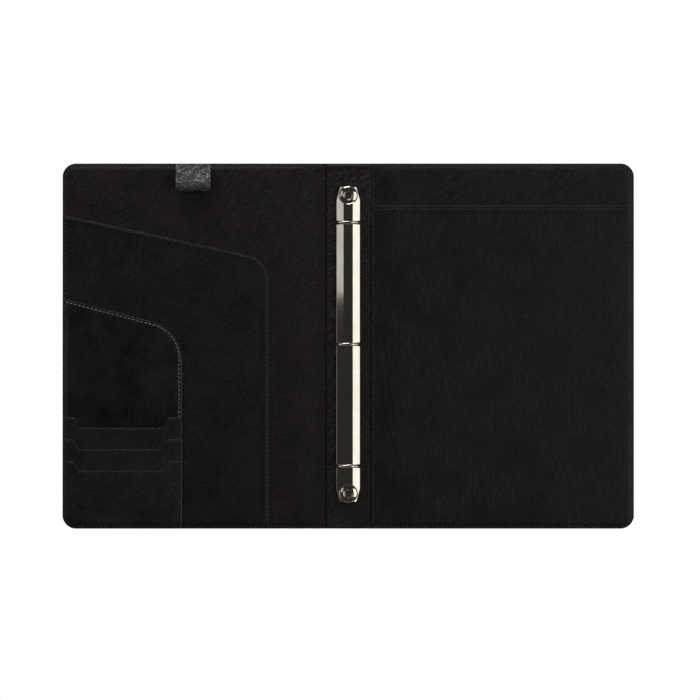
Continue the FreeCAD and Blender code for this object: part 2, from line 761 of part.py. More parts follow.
def check_and_write():
    """Stop on anything failed, then write each node to its own file."""
    doc.recompute()
    failed = [o.Name for o in doc.Objects if {"Invalid", "Error"} & set(o.State)]
    if failed:
        raise RuntimeError(f"these did not compute: {failed}")
    for node in nodes:
        if node.Shape.isNull() or not node.Shape.isValid():
            raise RuntimeError(f"{node.Label} has no valid shape")
    os.makedirs("parts", exist_ok=True)
    for node in nodes:
        node.Shape.exportStep(f"parts/{node.Label}.step")
        box = node.Shape.BoundBox
        print(
            f"{node.Label}: {len(node.Shape.Solids)} solid, {node.Shape.Volume:.0f} mm3,",
            f"X {box.XMin:.2f} {box.XMax:.2f}, Y {box.YMin:.2f} {box.YMax:.2f},",
            f"Z {box.ZMin:.2f} {box.ZMax:.2f}",
        )


def main():
    make_spine()
    make_hinge("front", FRONT)
    make_hinge("back", BACK)
    make_cover("front", FRONT)
    make_cover("back", BACK)
    make_sloped_pocket("document_pocket", COVER_TOP, "document")
    make_sloped_pocket("card_panel", PANEL_LEVEL, "card")
    strips = ("card_slot_top", "card_slot_middle", "card_slot_bottom")
    for number, label in enumerate(strips):
        make_card_strip(label, number, label == strips[-1])
    make_pen_loop()
    make_notepad_pocket()
    make_cover_plate()
    make_rivets()
    make_ring_bar("left", FRONT)
    make_ring_bar("right", BACK)
    check_and_write()


main()
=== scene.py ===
"""Looks for the open leather portfolio case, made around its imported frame.

Everything is in metres in the model's own frame: +X to the right across the open case, +Y to its
top edge, +Z up. The front cover lies on the -X side of the spine and the back cover on the +X side.
"""

import json
import math
import random

import bpy
import numpy as np
from mathutils import Matrix, Vector, noise


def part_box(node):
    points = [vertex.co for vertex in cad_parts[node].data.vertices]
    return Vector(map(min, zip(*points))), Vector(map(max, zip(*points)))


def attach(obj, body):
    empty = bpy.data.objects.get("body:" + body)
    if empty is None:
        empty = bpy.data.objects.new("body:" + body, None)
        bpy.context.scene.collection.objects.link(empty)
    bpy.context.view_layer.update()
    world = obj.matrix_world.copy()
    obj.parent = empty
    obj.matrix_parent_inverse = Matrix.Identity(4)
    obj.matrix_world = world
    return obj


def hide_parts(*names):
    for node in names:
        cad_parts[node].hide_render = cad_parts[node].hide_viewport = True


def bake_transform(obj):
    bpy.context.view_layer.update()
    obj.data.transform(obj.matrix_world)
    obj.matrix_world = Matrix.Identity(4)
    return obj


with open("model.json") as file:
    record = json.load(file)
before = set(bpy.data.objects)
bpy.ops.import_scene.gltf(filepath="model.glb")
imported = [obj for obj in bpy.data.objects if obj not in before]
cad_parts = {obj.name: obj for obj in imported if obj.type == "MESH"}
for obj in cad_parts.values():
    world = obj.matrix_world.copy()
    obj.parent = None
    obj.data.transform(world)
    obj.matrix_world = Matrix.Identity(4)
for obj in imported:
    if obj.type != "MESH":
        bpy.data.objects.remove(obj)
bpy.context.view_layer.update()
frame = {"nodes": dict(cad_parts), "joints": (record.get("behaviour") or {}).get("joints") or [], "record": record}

bl_info = {
    "name": "Portfolio case",
    "version": (1, 0, 0),
    "blender": (4, 5, 0),
    "location": "View3D > Sidebar > Portfolio case",
    "description": "Makes the leather, stitching and metalwork of an open portfolio case",
    "category": "Object",
}

MM = 0.001

# Sizes read from the frame
OUTER_X, OUTER_Y, SKIN_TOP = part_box("back_outer_leather")[1]
COVER_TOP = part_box("back_lining")[1].z
SPINE_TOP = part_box("spine_lining")[1].z
POCKET_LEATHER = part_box("notepad_pocket")[1].z - COVER_TOP
JOINTS = {joint["name"]: joint for joint in frame["joints"]}
HINGE_LINE = abs(JOINTS["back_cover_hinge"]["pos_m"][0])
SIDES = {"front": -1, "back": 1}

# The sewn rim of the covers
CORNER = 12 * MM  # rounding of the outer corners
EDGE_TOP = 3.5 * MM  # top of the lining at the very edge
LINING_LEATHER = 0.8 * MM
SPINE_LEATHER = 0.5 * MM
SKIN_TURN = EDGE_TOP - LINING_LEATHER - SKIN_TOP  # how far the outer skin turns up at the rim
HINGE_TOP = 4.1 * MM  # top of the lining in the bottom of a hinge
FOLD_EDGE = 20.7 * MM  # centre line to the folded edge of a cover's lining
FOLD_RISE = 0.08 * MM  # how far that edge lies over the spine's lining
RIM_STITCH = 2.2 * MM  # outline to its stitches
EDGE_LOOPS = tuple(step * MM for step in (0.4, 0.9, 1.5, 2.2, 2.9, 3.8, 5.2, 7.0))
CUT_EDGE = 55  # degrees; leather that turns more sharply than this is at a cut edge

# Lines across a hinge where its leather is divided
FOLDS_FROM, FOLD_STEP, FOLD_COUNT = 19, 0.75, 14


def smooth(low, high, value):
    """0 up to low, 1 from high, and an even curve between them."""
    share = np.clip((value - low) / (high - low), 0, 1)
    return share * share * (3 - 2 * share)


def ridge(distance, width):
    """A rounded ridge, 1 high, about the place where a distance is 0."""
    return np.exp(-((distance / width) ** 2))


def ripple(x, y, length, seed):
    """Smooth unevenness from -1 to 1, with bumps about one length wide."""
    return np.array([noise.noise((a / length, b / length, seed)) for a, b in zip(x, y)])


class Outline:
    """A convex outline in the XY plane: its corners anticlockwise, each with its rounding."""

    def __init__(self, corners):
        """Take each corner's place and rounding."""
        self.corners = [(Vector(place), rounding) for place, rounding in corners]

    def edge(self, index):
        """Start and outward direction of the edge that leaves a corner."""
        start = self.corners[index % len(self.corners)][0]
        along = (self.corners[(index + 1) % len(self.corners)][0] - start).normalized()
        return start, Vector((along.y, -along.x))

    def inset(self, distance):
        """This outline moved inwards."""
        moved = []
        for index, (place, rounding) in enumerate(self.corners):
            before, after = self.edge(index - 1)[1], self.edge(index)[1]
            inwards = (before + after) * (distance / (1 + before.dot(after)))
            moved.append((place - inwards, max(rounding - distance, 0)))
        return Outline(moved)

    def fan(self, index, step=math.radians(8)):
        """Centre of a corner's rounding, and the outward directions across it."""
        place, rounding = self.corners[index % len(self.corners)]
        before, after = self.edge(index - 1)[1], self.edge(index)[1]
        centre = place - (before + after) * (rounding / (1 + before.dot(after)))
        turn = math.atan2(before.cross(after), before.dot(after))
        count = math.ceil(turn / step)
        turns = [Matrix.Rotation(turn * part / count, 2) for part in range(count + 1)]
        return centre, [rotation @ before for rotation in turns]

    def line(self, first, last):
        """Points along the rounded outline, from one corner to another."""
        points = []
        for index in range(first, last + 1):
            place, rounding = self.corners[index % len(self.corners)]
            if rounding:
                centre, directions = self.fan(index)
                points += [centre + direction * rounding for direction in directions]
            else:
                points.append(place)
        return points

    def depth(self, x, y, edges=None):
        """How far points lie inside the outline, or inside some of its edges only."""
        count = len(self.corners)
        edges = range(count) if edges is None else edges
        inside = {}
        for index in edges:
            start, outward = self.edge(index)
            inside[index] = (start.x - x) * outward.x + (start.y - y) * outward.y
        nearest = np.min([inside[index] for index in edges], axis=0)
        for index in edges:
            rounding = self.corners[index][1]
            before = (index - 1) % count
            if rounding and before in inside:
                short_a = rounding - inside[before]
                short_b = rounding - inside[index]
                within = (short_a > 0) & (short_b > 0)
                nearest = np.where(within, rounding - np.hypot(short_a, short_b), nearest)
        return nearest


def cover_outline(side, inner, corner=CORNER):
    """Outline of one cover, from a distance off the centre line to its outer edge."""
    if side > 0:
        corners = (((inner, -OUTER_Y), 0), ((OUTER_X, -OUTER_Y), corner),
                   ((OUTER_X, OUTER_Y), corner), ((inner, OUTER_Y), 0))
    else:
        corners = (((-inner, OUTER_Y), 0), ((-OUTER_X, OUTER_Y), corner),
                   ((-OUTER_X, -OUTER_Y), corner), ((-inner, -OUTER_Y), 0))
    return Outline(corners)


CASE_RIM = Outline((((-OUTER_X, -OUTER_Y), CORNER), ((OUTER_X, -OUTER_Y), CORNER),
                    ((OUTER_X, OUTER_Y), CORNER), ((-OUTER_X, OUTER_Y), CORNER)))

# Pockets: outline, then the edges of it that are free rather than sewn into the rim
DOCUMENT_SIDE = 70.8 * MM
DOCUMENT_POCKET = Outline((((-OUTER_X, -OUTER_Y), CORNER), ((-DOCUMENT_SIDE, -OUTER_Y), 0),
                           ((-DOCUMENT_SIDE, 76.8 * MM), 22 * MM), ((-OUTER_X, 116.2 * MM), 0)))
CARD_SIDE = 147.5 * MM
CARD_PANEL = Outline((((-OUTER_X, -OUTER_Y), CORNER), ((-CARD_SIDE, -OUTER_Y), 0),
                      ((-CARD_SIDE, 14.7 * MM), 32 * MM), ((-OUTER_X, 42.4 * MM), 0)))
SIDE_AND_MOUTH = (1, 2)
NOTEPAD_POCKET = Outline((((FOLD_EDGE, -OUTER_Y), 0), ((OUTER_X, -OUTER_Y), CORNER),
                          ((OUTER_X, 124.8 * MM), 0), ((FOLD_EDGE, 124.8 * MM), 0)))
MOUTH = (2,)

# Card slots
STRIP_NAMES = ("top", "middle", "bottom")
STRIP_SIDE = 148 * MM
STRIP_TOP = -63.0 * MM
STRIP_PITCH = 19.6 * MM
STRIP_LEATHER = 0.6 * MM
STRIP_TUCK = 5 * MM  # length of a strip that lies hidden under the next one
DIP_DEPTH = 9.6 * MM
DIP_LESS = 0.6 * MM  # each cut-out is this much shallower than the one above
DIP_OUT, DIP_IN = 239 * MM, 166.5 * MM
DIP_SLANT, DIP_CURVE = 4.4 * MM, 8 * MM  # widths of a cut-out's two ends
DIP_FADE = 20 * MM  # rows of the strip follow the cut-out down to this depth


def wrinkles(x, y, width, length, seed):
    """Slanting wrinkles, 0 to 1, of a given width and length."""
    along_them, across_them = (x + y) / math.sqrt(2), (x - y) / math.sqrt(2)
    drift = 0.5 * width * ripple(x, y, 3 * width, seed + 1)
    return np.abs(ripple(along_them * width / length, across_them + drift, width, seed))


def skin_height(x, y):
    """Top of the outer leather, which turns up at the rim to meet the lining."""
    return SKIN_TOP + SKIN_TURN * (1 - smooth(0, 6 * MM, CASE_RIM.depth(x, y)))


def lining_height(x, y):
    """Top of a cover's lining: padded over the board, low at the sewn rim and in the hinge."""
    rim = CASE_RIM.depth(x, y)
    out = np.abs(x)
    rise = 0.87 * smooth(0.5 * MM, 5.5 * MM, rim) + 0.13 * smooth(3 * MM, 14 * MM, rim)
    across = HINGE_TOP + (COVER_TOP - HINGE_TOP) * smooth(23.5 * MM, 45 * MM, out)
    across = across + FOLD_RISE * (1 - smooth(FOLD_EDGE, FOLD_EDGE + 3 * MM, out))
    groove = 0.2 * MM * ridge(rim - RIM_STITCH, 0.55 * MM)
    hinge_groove = 0.12 * MM * ridge(out - HINGE_LINE, 0.6 * MM)
    softness = 0.16 * MM * ripple(x, y, 38 * MM, 2.5)
    softness = softness + 0.16 * MM * wrinkles(x, y, 11 * MM, 40 * MM, 3.5)
    softness = softness * smooth(4 * MM, 20 * MM, rim) * smooth(26 * MM, 40 * MM, out)
    return EDGE_TOP + (across - EDGE_TOP) * rise - groove - hinge_groove + softness


def spine_height(x, y):
    """Top of the spine's lining, glued flat over its board."""
    rim = OUTER_Y - np.abs(y)
    across = SPINE_TOP - 0.9 * MM * smooth(18.2 * MM, 21 * MM, np.abs(x))
    ends = EDGE_TOP + (across - EDGE_TOP) * smooth(0, 1.7 * MM, rim)
    marked = 0.45 + 0.55 * smooth(20 * MM, 110 * MM, y)
    return ends - 0.42 * MM * marked * (0.7 - wrinkles(x, y, 5.5 * MM, 17 * MM, 7.5))


def pocket_layer(outline, free_edges, stitch, lift, roll, swell, seed, pillow=0):
    """Height of a pocket panel over what it lies on: its leather, an open lip and soft waves."""

    def layer(x, y):
        """Height at each point over what lies under the pocket."""
        lip = outline.depth(x, y, free_edges)
        inner = outline.depth(x, y)
        lifted = lift * (1 - smooth(0, 9 * MM, lip))
        rolled = roll * (1 - smooth(-0.6 * MM, 1.3 * MM, lip))
        groove = 0.2 * MM * ridge(lip - stitch, 0.5 * MM)
        waves = 0.5 + 0.5 * ripple(x, y, 55 * MM, seed) + 0.22 * ripple(x, y, 17 * MM, seed + 1)
        soft = swell * waves * smooth(3 * MM, 22 * MM, inner)
        padded = pillow * (0.55 + 0.8 * ripple(x, y, 48 * MM, seed + 2))
        soft = soft + padded * (smooth(2 * MM, 12 * MM, lip) + ridge(inner - 5 * MM, 5 * MM))
        return POCKET_LEATHER + 0.05 * MM + lifted - rolled - groove + soft

    return layer


DOCUMENT_STITCH = 2.0 * MM
CARD_STITCH = 2.6 * MM
NOTEPAD_STITCH = 3.5 * MM
document_layer = pocket_layer(DOCUMENT_POCKET, SIDE_AND_MOUTH, DOCUMENT_STITCH, 0.35 * MM,
                              0.6 * MM, 0.42 * MM, 11.5)
card_layer = pocket_layer(CARD_PANEL, SIDE_AND_MOUTH, CARD_STITCH, 0.3 * MM,
                          0.4 * MM, 1.2 * MM, 21.5, 1.1 * MM)
notepad_layer = pocket_layer(NOTEPAD_POCKET, MOUTH, NOTEPAD_STITCH, 0.2 * MM,
                             0.3 * MM, 0.42 * MM, 31.5)


def document_height(x, y):
    """Top of the document pocket."""
    return lining_height(x, y) + document_layer(x, y)


def card_height(x, y):
    """Top of the card panel, which lies on the document pocket."""
    return document_height(x, y) + card_layer(x, y)


def notepad_height(x, y):
    """Top of the notepad pocket, with the upright folds its leather has near the spine."""
    inner = NOTEPAD_POCKET.depth(x, y)
    drift = 9 * MM * ripple(x, y, 70 * MM, 41.5)
    fold = np.sin((x + drift) / (6.5 * MM)) * ripple(x, y, 60 * MM, 43.5)
    where = smooth(6 * MM, 30 * MM, inner) * (1 - smooth(120 * MM, 200 * MM, x))
    return lining_height(x, y) + notepad_layer(x, y) + 0.13 * MM * (1 + fold) * where


def strip_edge(index, x):
    """Y of a card slot strip's top edge, with its finger cut-out."""
    outer = np.clip((x + DIP_OUT + DIP_SLANT) / DIP_SLANT, 0, 1)
    inner = smooth(-DIP_IN, -DIP_IN + DIP_CURVE, x)
    depth = DIP_DEPTH - index * DIP_LESS
    return STRIP_TOP - index * STRIP_PITCH - depth * outer * (1 - inner)


def strip_height(index):
    """Height of a card slot strip: it lies over the one above and settles onto the panel."""

    def height(x, y):
        """Top of the strip at each point."""
        below = strip_edge(index, x) - y
        over = 0.45 * MM * (1 - smooth(3 * MM, 18 * MM, below))
        groove = 0.16 * MM * ridge(below - 2.5 * MM, 0.5 * MM)
        rolled = 0.55 * MM * (1 - smooth(-0.5 * MM, 1.2 * MM, below))
        return card_height(x, y) + STRIP_LEATHER + 0.05 * MM + over - groove - rolled

    return height


def front_height(x, y):
    """Top of whatever lies uppermost on the front cover."""
    height = lining_height(x, y)
    height = np.where(DOCUMENT_POCKET.depth(x, y) > 0, document_height(x, y), height)
    height = np.where(CARD_PANEL.depth(x, y) > 0, card_height(x, y), height)
    for index in range(len(STRIP_NAMES)):
        on_strip = (strip_edge(index, x) > y) & (x < -STRIP_SIDE)
        height = np.where(on_strip, strip_height(index)(x, y), height)
    return height


def back_height(x, y):
    """Top of whatever lies uppermost on the back cover."""
    on_pocket = NOTEPAD_POCKET.depth(x, y) > 0
    return np.where(on_pocket, notepad_height(x, y), lining_height(x, y))


# ---------------------------------------------------------------- mesh helpers


def new_piece(add, **settings):
    """Add a primitive with nothing else selected, and return it."""
    bpy.ops.object.select_all(action="DESELECT")
    add(**settings)
    return bpy.context.object


def only(piece):
    """Select one object alone and make it the active one."""
    bpy.ops.object.select_all(action="DESELECT")
    piece.select_set(True)
    bpy.context.view_layer.objects.active = piece


def settle(piece):
    """Move a piece's place, turn and scale into its mesh."""
    only(piece)
    bpy.ops.object.transform_apply(location=True, rotation=True, scale=True)
    return piece


def points_of(piece):
    """The corner points of a mesh as an array."""
    points = np.zeros(len(piece.data.vertices) * 3)
    piece.data.vertices.foreach_get("co", points)
    return points.reshape(-1, 3)


def move_points(piece, points):
    """Give a mesh its corner points from an array."""
    piece.data.vertices.foreach_set("co", points.ravel())
    piece.data.update()


def apply_modifier(piece, kind, **settings):
    """Add a modifier, set it and apply it."""
    only(piece)
    modifier = piece.modifiers.new(kind.title(), kind)
    for name, value in settings.items():
        setattr(modifier, name, value)
    bpy.ops.object.modifier_apply(modifier=modifier.name)


def bevel(piece, width, segments, angle):
    """Bevel the edges of a piece that turn by more than an angle in degrees."""
    apply_modifier(piece, "BEVEL", width=width, segments=segments, limit_method="ANGLE",
                   angle_limit=math.radians(angle))


def combine(piece, tool, operation):
    """Cut a piece with a tool, or unite them, and remove the tool."""
    apply_modifier(piece, "BOOLEAN", operation=operation, solver="EXACT", object=tool)
    bpy.data.objects.remove(tool)
    bpy.ops.object.mode_set(mode="EDIT")
    bpy.ops.mesh.select_all(action="SELECT")
    bpy.ops.mesh.remove_doubles(threshold=0.004 * MM)
    bpy.ops.object.mode_set(mode="OBJECT")


def join(pieces):
    """Join pieces into the first of them."""
    bpy.ops.object.select_all(action="DESELECT")
    for piece in pieces:
        piece.select_set(True)
    bpy.context.view_layer.objects.active = pieces[0]
    bpy.ops.object.join()
    return pieces[0]


def shade(piece, angle=40):
    """Shade a piece smooth, with its sharp edges kept."""
    only(piece)
    bpy.ops.object.shade_smooth_by_angle(angle=math.radians(angle))


def name_piece(piece, name, finish):
    """Name a piece and give it its finish."""
    piece.name = piece.data.name = name
    piece.data.materials.clear()
    piece.data.materials.append(finish_named(finish))
    return piece


def cut_plane(place, outward, clear=False, fill=False):
    """Cut the mesh in edit mode along a plane, and clear what lies beyond it if asked."""
    bpy.ops.mesh.select_all(action="SELECT")
    bpy.ops.mesh.bisect(plane_co=(*place, 0), plane_no=(*outward, 0), clear_outer=clear,
                        use_fill=fill)


def cut_panel(outline, step, folds=(), loops=EDGE_LOOPS):
    """Cut a flat sheet to an outline, closely divided along its edges and its folds."""
    places = [place for place, _ in outline.corners]
    low = Vector([min(place[axis] for place in places) for axis in (0, 1)])
    high = Vector([max(place[axis] for place in places) for axis in (0, 1)])
    size, middle = high - low, (low + high) / 2
    piece = new_piece(
        bpy.ops.mesh.primitive_grid_add, size=1, location=(*middle, 0),
        x_subdivisions=math.ceil(size.x / step), y_subdivisions=math.ceil(size.y / step))
    piece.scale = (size.x, size.y, 1)
    settle(piece)
    bpy.ops.object.mode_set(mode="EDIT")
    for index, (_, rounding) in enumerate(outline.corners):
        start, outward = outline.edge(index)
        cut_plane(start, outward, clear=True)
        for loop in loops:
            cut_plane(start - outward * loop, outward)
        if rounding:
            centre, directions = outline.fan(index)
            for direction in directions:
                cut_plane(centre + direction * rounding, direction, clear=True)
    for fold in folds:
        cut_plane((fold, 0), (1, 0))
    bpy.ops.mesh.select_all(action="SELECT")
    bpy.ops.mesh.remove_doubles(threshold=0.04 * MM)
    bpy.ops.object.mode_set(mode="OBJECT")
    return piece


def lay_panel(piece, height, thickness, outline):
    """Lift a flat sheet to its height, mark where it is rubbed and give it its thickness."""
    points = points_of(piece)
    x, y = points[:, 0], points[:, 1]
    points[:, 2] = height(x, y)
    move_points(piece, points)
    rubbed = piece.data.attributes.new("rubbed", "FLOAT", "POINT")
    rubbed.data.foreach_set("value", 1 - smooth(0, 2.4 * MM, outline.depth(x, y)))
    apply_modifier(piece, "SOLIDIFY", thickness=thickness, offset=-1)
    bevel(piece, 0.32 * thickness, 2, CUT_EDGE)
    shade(piece, CUT_EDGE)
    return piece


def flat_size(outline):
    """Width, length and area of an outline before its corners are rounded."""
    places = [place for place, _ in outline.corners]
    pairs = list(zip(places, places[1:] + places[:1]))
    area = sum(first.cross(second) for first, second in pairs) / 2
    spans = [max(p[axis] for p in places) - min(p[axis] for p in places) for axis in (0, 1)]
    return tuple(spans), area


def declare_sheet(outline):
    """Work out the flat size and area of leather cut to an outline, without keeping them."""
    flat, area = flat_size(outline)
    min(area, flat[0] * flat[1])


def hinge_folds(side):
    """Places of the lines that divide a hinge's leather."""
    return [side * (FOLDS_FROM + FOLD_STEP * part) * MM for part in range(FOLD_COUNT)]


def bend_at_hinge(piece, side):
    """Move a piece's placement into its mesh; the piece is not bent at the hinge."""
    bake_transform(piece)


# ---------------------------------------------------------------- stitching


def along(points, pitch):
    """Middles and headings of stitches at an even pitch along a line of points."""
    spots = []
    spare = pitch / 2
    for start, end in zip(points, points[1:]):
        run = end - start
        while spare < run.length:
            spots.append((start + run.normalized() * spare, math.atan2(run.y, run.x)))
            spare += pitch
        spare -= run.length
    return spots


def sew(name, lines, height, pitch, seed, finish="thread"):
    """Sew along lines: one stitch is modelled, copied to each place and joined into a row."""
    sewing = bpy.context.scene.case_sewing
    stitch = new_piece(bpy.ops.mesh.primitive_uv_sphere_add, segments=6, ring_count=5,
                       radius=0.5, rotation=(0, math.pi / 2, 0))
    stitch.scale = (sewing.thickness, sewing.thickness, sewing.length * pitch)
    settle(stitch)
    bpy.ops.object.shade_smooth()
    chance = random.Random(seed)
    spots = [spot for line in lines for spot in along(line, pitch)]
    reach = 0.4 * sewing.length * pitch
    ends = []
    for sign in (-1, 1):
        ends.append(np.array([place + sign * reach * Vector((math.cos(turn), math.sin(turn)))
                              for place, turn in spots]))
    back, front = (height(end[:, 0], end[:, 1]) for end in ends)
    row = []
    for (place, turn), low, high in zip(spots, back, front):
        copy = stitch.copy()
        copy.data = stitch.data.copy()
        bpy.context.collection.objects.link(copy)
        slope = Matrix.Rotation(-math.atan2(high - low, 2 * reach), 4, "Y")
        skew = math.radians(sewing.skew) * (1 + chance.uniform(-0.5, 0.5))
        spin = Matrix.Rotation(turn + skew, 4, "Z")
        level = (low + high) / 2 + sewing.proud * sewing.thickness
        copy.data.transform(Matrix.Translation((*place, level)) @ spin @ slope)
        row.append(copy)
    bpy.data.objects.remove(stitch)
    return name_piece(join(row), name, finish)


# ---------------------------------------------------------------- leather pieces


def make_skin(cover):
    """One outer leather: over a cover, round the hinge and to the middle of the spine."""
    side = SIDES[cover]
    outline = cover_outline(side, 0)
    piece = cut_panel(outline, 5 * MM, hinge_folds(side))
    lay_panel(piece, skin_height, SKIN_TOP, outline)
    name_piece(piece, f"{cover}_outer_skin", "outer_leather")
    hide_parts(f"{cover}_outer_leather", f"{cover}_hinge_leather")
    if cover == "front":
        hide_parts("spine_outer_leather")
    bend_at_hinge(piece, side)
    declare_sheet(outline)


def make_lining(cover):
    """One cover's lining, sewn down round the rim and along the hinge."""
    side = SIDES[cover]
    outline = cover_outline(side, FOLD_EDGE)
    piece = cut_panel(outline, 2.6 * MM, hinge_folds(side))
    lay_panel(piece, lining_height, LINING_LEATHER, outline)
    finish = "lining_leather" if cover == "front" else "pocket_leather"
    name_piece(piece, f"{cover}_lining_panel", finish)
    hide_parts(f"{cover}_lining")
    bend_at_hinge(piece, side)
    declare_sheet(outline)


def make_spine_lining():
    """The strip that lines the spine, under the ring mechanism."""
    half = FOLD_EDGE + 0.8 * MM
    outline = Outline((((-half, -OUTER_Y), 0), ((half, -OUTER_Y), 0),
                       ((half, OUTER_Y), 0), ((-half, OUTER_Y), 0)))
    piece = cut_panel(outline, 1.3 * MM)
    lay_panel(piece, spine_height, SPINE_LEATHER, outline)
    name_piece(piece, "spine_lining_strip", "spine_leather")
    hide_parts("spine_lining")
    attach(piece, "spine")
    declare_sheet(outline)


def make_pocket(name, node, outline, height, finish, folds=()):
    """One pocket panel, cut to its outline and laid on what is under it."""
    piece = cut_panel(outline, 2.1 * MM, folds)
    lay_panel(piece, height, POCKET_LEATHER, outline)
    name_piece(piece, name, finish)
    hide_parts(node)
    declare_sheet(outline)
    return piece


def make_card_strip(index, name):
    """One card slot strip, with its finger cut-out and its hidden tail."""
    top = STRIP_TOP - index * STRIP_PITCH
    last = index == len(STRIP_NAMES) - 1
    bottom = -OUTER_Y if last else top - STRIP_PITCH - DIP_DEPTH - STRIP_TUCK
    outline = Outline((((-OUTER_X, bottom), CORNER if last else 0), ((-STRIP_SIDE, bottom), 0),
                       ((-STRIP_SIDE, top), 0), ((-OUTER_X, top), 0)))
    piece = cut_panel(outline, 1.5 * MM)
    points = points_of(piece)
    follow = np.clip(1 - (top - points[:, 1]) / DIP_FADE, 0, 1)
    points[:, 1] += (strip_edge(index, points[:, 0]) - top) * follow
    move_points(piece, points)
    lay_panel(piece, strip_height(index), STRIP_LEATHER, outline)
    # The strips' finish is paler than the pocket leather: painted light for the weaker light they get.
    name_piece(piece, f"card_strip_{name}", "strip_leather")
    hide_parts(f"card_slot_{name}")
    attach(piece, "front_cover")
    declare_sheet(outline)


def tangent(place, centre, radius, turn):
    """Where a line from a place touches a circle, on the side that turn picks."""
    away = place - centre
    angle = turn * math.acos(radius / away.length)
    return centre + Matrix.Rotation(angle, 2) @ away.normalized() * radius


def make_pen_loop():
    """The pen loop: a strap round a pen's thickness, both ends sewn to the top edge."""
    low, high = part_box("pen_loop")
    thickness, radius = 1.2 * MM, 5.6 * MM
    centre = Vector((low.y + radius + thickness / 2, low.z + radius + thickness / 2))
    upper, lower = Vector((161.4 * MM, 4.5 * MM)), Vector((161.4 * MM, 3.0 * MM))
    start = tangent(upper, centre, radius, 1)
    end = tangent(lower, centre, radius, -1)
    first = math.atan2(start.y - centre.y, start.x - centre.x)
    last = math.atan2(end.y - centre.y, end.x - centre.x) + 2 * math.pi
    straights, rounds = 12, 28
    turns = [first + (last - first) * part / rounds for part in range(rounds + 1)]
    path = [upper.lerp(start, part / straights) for part in range(straights)]
    path += [centre + radius * Vector((math.cos(turn), math.sin(turn))) for turn in turns]
    path += [end.lerp(lower, part / straights) for part in range(1, straights + 1)]
    width = high.x - low.x
    columns = 26
    piece = new_piece(bpy.ops.mesh.primitive_grid_add, size=1, x_subdivisions=columns,
                      y_subdivisions=len(path) - 1)
    points = points_of(piece)
    across = points[:, 0] + 0.5
    step = np.rint((points[:, 1] + 0.5) * (len(path) - 1)).astype(int)
    strap = np.array(path)[step]
    points[:, 0] = low.x + across * width
    points[:, 1:] = strap
    middle = ripple(points[:, 0], points[:, 1] + points[:, 2], 9 * MM, 51.5)
    points[:, 2] += 0.22 * MM * middle * smooth(0, 3 * MM, OUTER_Y - 1 * MM - points[:, 1])
    move_points(piece, points)
    rubbed = piece.data.attributes.new("rubbed", "FLOAT", "POINT")
    edge = np.minimum(across, 1 - across) * width
    rubbed.data.foreach_set("value", 1 - smooth(0, 2 * MM, edge))
    apply_modifier(piece, "SOLIDIFY", thickness=thickness, offset=0)
    bevel(piece, 0.35 * MM, 2, CUT_EDGE)
    shade(piece, CUT_EDGE)
    name_piece(piece, "pen_loop_strap", "strap_leather")
    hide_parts("pen_loop")
    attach(piece, "front_cover")
    strap_length = sum((b - a).length for a, b in zip(path, path[1:]))


# ---------------------------------------------------------------- rows of stitches


def make_rim_stitches(cover, height):
    """Stitches round a cover's rim and along its hinge."""
    side = SIDES[cover]
    sewing = bpy.context.scene.case_sewing
    outline = cover_outline(side, FOLD_EDGE).inset(RIM_STITCH)
    rim = outline.line(0, 3)
    hinge = [Vector((side * HINGE_LINE, sign * (OUTER_Y - 4 * MM))) for sign in (-1, 1)]
    # The hinge row takes a darker copy of the thread: painted shade for stitches that catch little light.
    rows = ((f"{cover}_rim_stitches", rim, sewing.rim_pitch, "thread"),
            (f"{cover}_hinge_stitches", hinge, sewing.hinge_pitch, "dark_thread"))
    for name, line, pitch, finish in rows:
        row = sew(name, [line], height, pitch, 5 + side, finish)
        bend_at_hinge(row, side)


def make_spine_stitches():
    """Stitches across the top and bottom ends of the spine."""
    level = OUTER_Y - RIM_STITCH
    half = FOLD_EDGE - 1 * MM
    lines = [[Vector((-half, sign * level)), Vector((half, sign * level))] for sign in (-1, 1)]
    pitch = bpy.context.scene.case_sewing.rim_pitch
    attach(sew("spine_end_stitches", lines, spine_height, pitch, 9), "spine")


def make_pocket_stitches():
    """Stitches of the pockets and the card slots."""
    pitch = bpy.context.scene.case_sewing.pocket_pitch
    margin = 4 * MM
    document = DOCUMENT_POCKET.inset(DOCUMENT_STITCH).line(1, 3)
    document[0].y += margin
    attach(sew("document_pocket_stitches", [document], document_height, pitch, 21), "front_cover")
    card = CARD_PANEL.inset(CARD_STITCH).line(1, 3)
    card[0].y += margin
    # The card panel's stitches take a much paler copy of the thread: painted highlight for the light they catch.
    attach(sew("card_panel_stitches", [card], card_height, pitch, 22, "pale_thread"),
            "front_cover")
    mouth = NOTEPAD_POCKET.inset(NOTEPAD_STITCH).line(2, 3)
    row = sew("notepad_pocket_stitches", [mouth], notepad_height, pitch, 23)
    bend_at_hinge(row, SIDES["back"])
    reach = np.linspace(-OUTER_X + 2.5 * MM, -STRIP_SIDE - 1.5 * MM, 60)
    for index, name in enumerate(STRIP_NAMES):
        level = strip_edge(index, reach) - 2.5 * MM
        line = [Vector(place) for place in zip(reach, level)]
        # The strips' stitches take the darker copy of the thread: painted shade for stitches that catch little
        # light.
        row = sew(f"card_strip_{name}_stitches", [line], strip_height(index), pitch, 24 + index,
                  "dark_thread")
        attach(row, "front_cover")


# ---------------------------------------------------------------- the ring mechanism

RING_MIDDLE = 1.5 * MM
RING_PITCH = 107.95 * MM
RING_RADIUS = 10.3 * MM
RING_LEVEL = 13.1 * MM
WIRE = 1.35 * MM
RINGS = {"top": RING_MIDDLE + RING_PITCH, "middle": RING_MIDDLE, "bottom": RING_MIDDLE - RING_PITCH}
TIP = 1.1 * MM  # half the length over which two ring tips lie side by side
TIP_GAP = 0.04 * MM
TIP_TURN = math.radians(24)  # slant of the joint between two ring tips
FOOT_ANGLE = math.radians(131)  # from a ring's tips round to its foot
RIVET_OFFSET = 132.25 * MM
PLATE_LOW, PLATE_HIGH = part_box("ring_cover_plate")


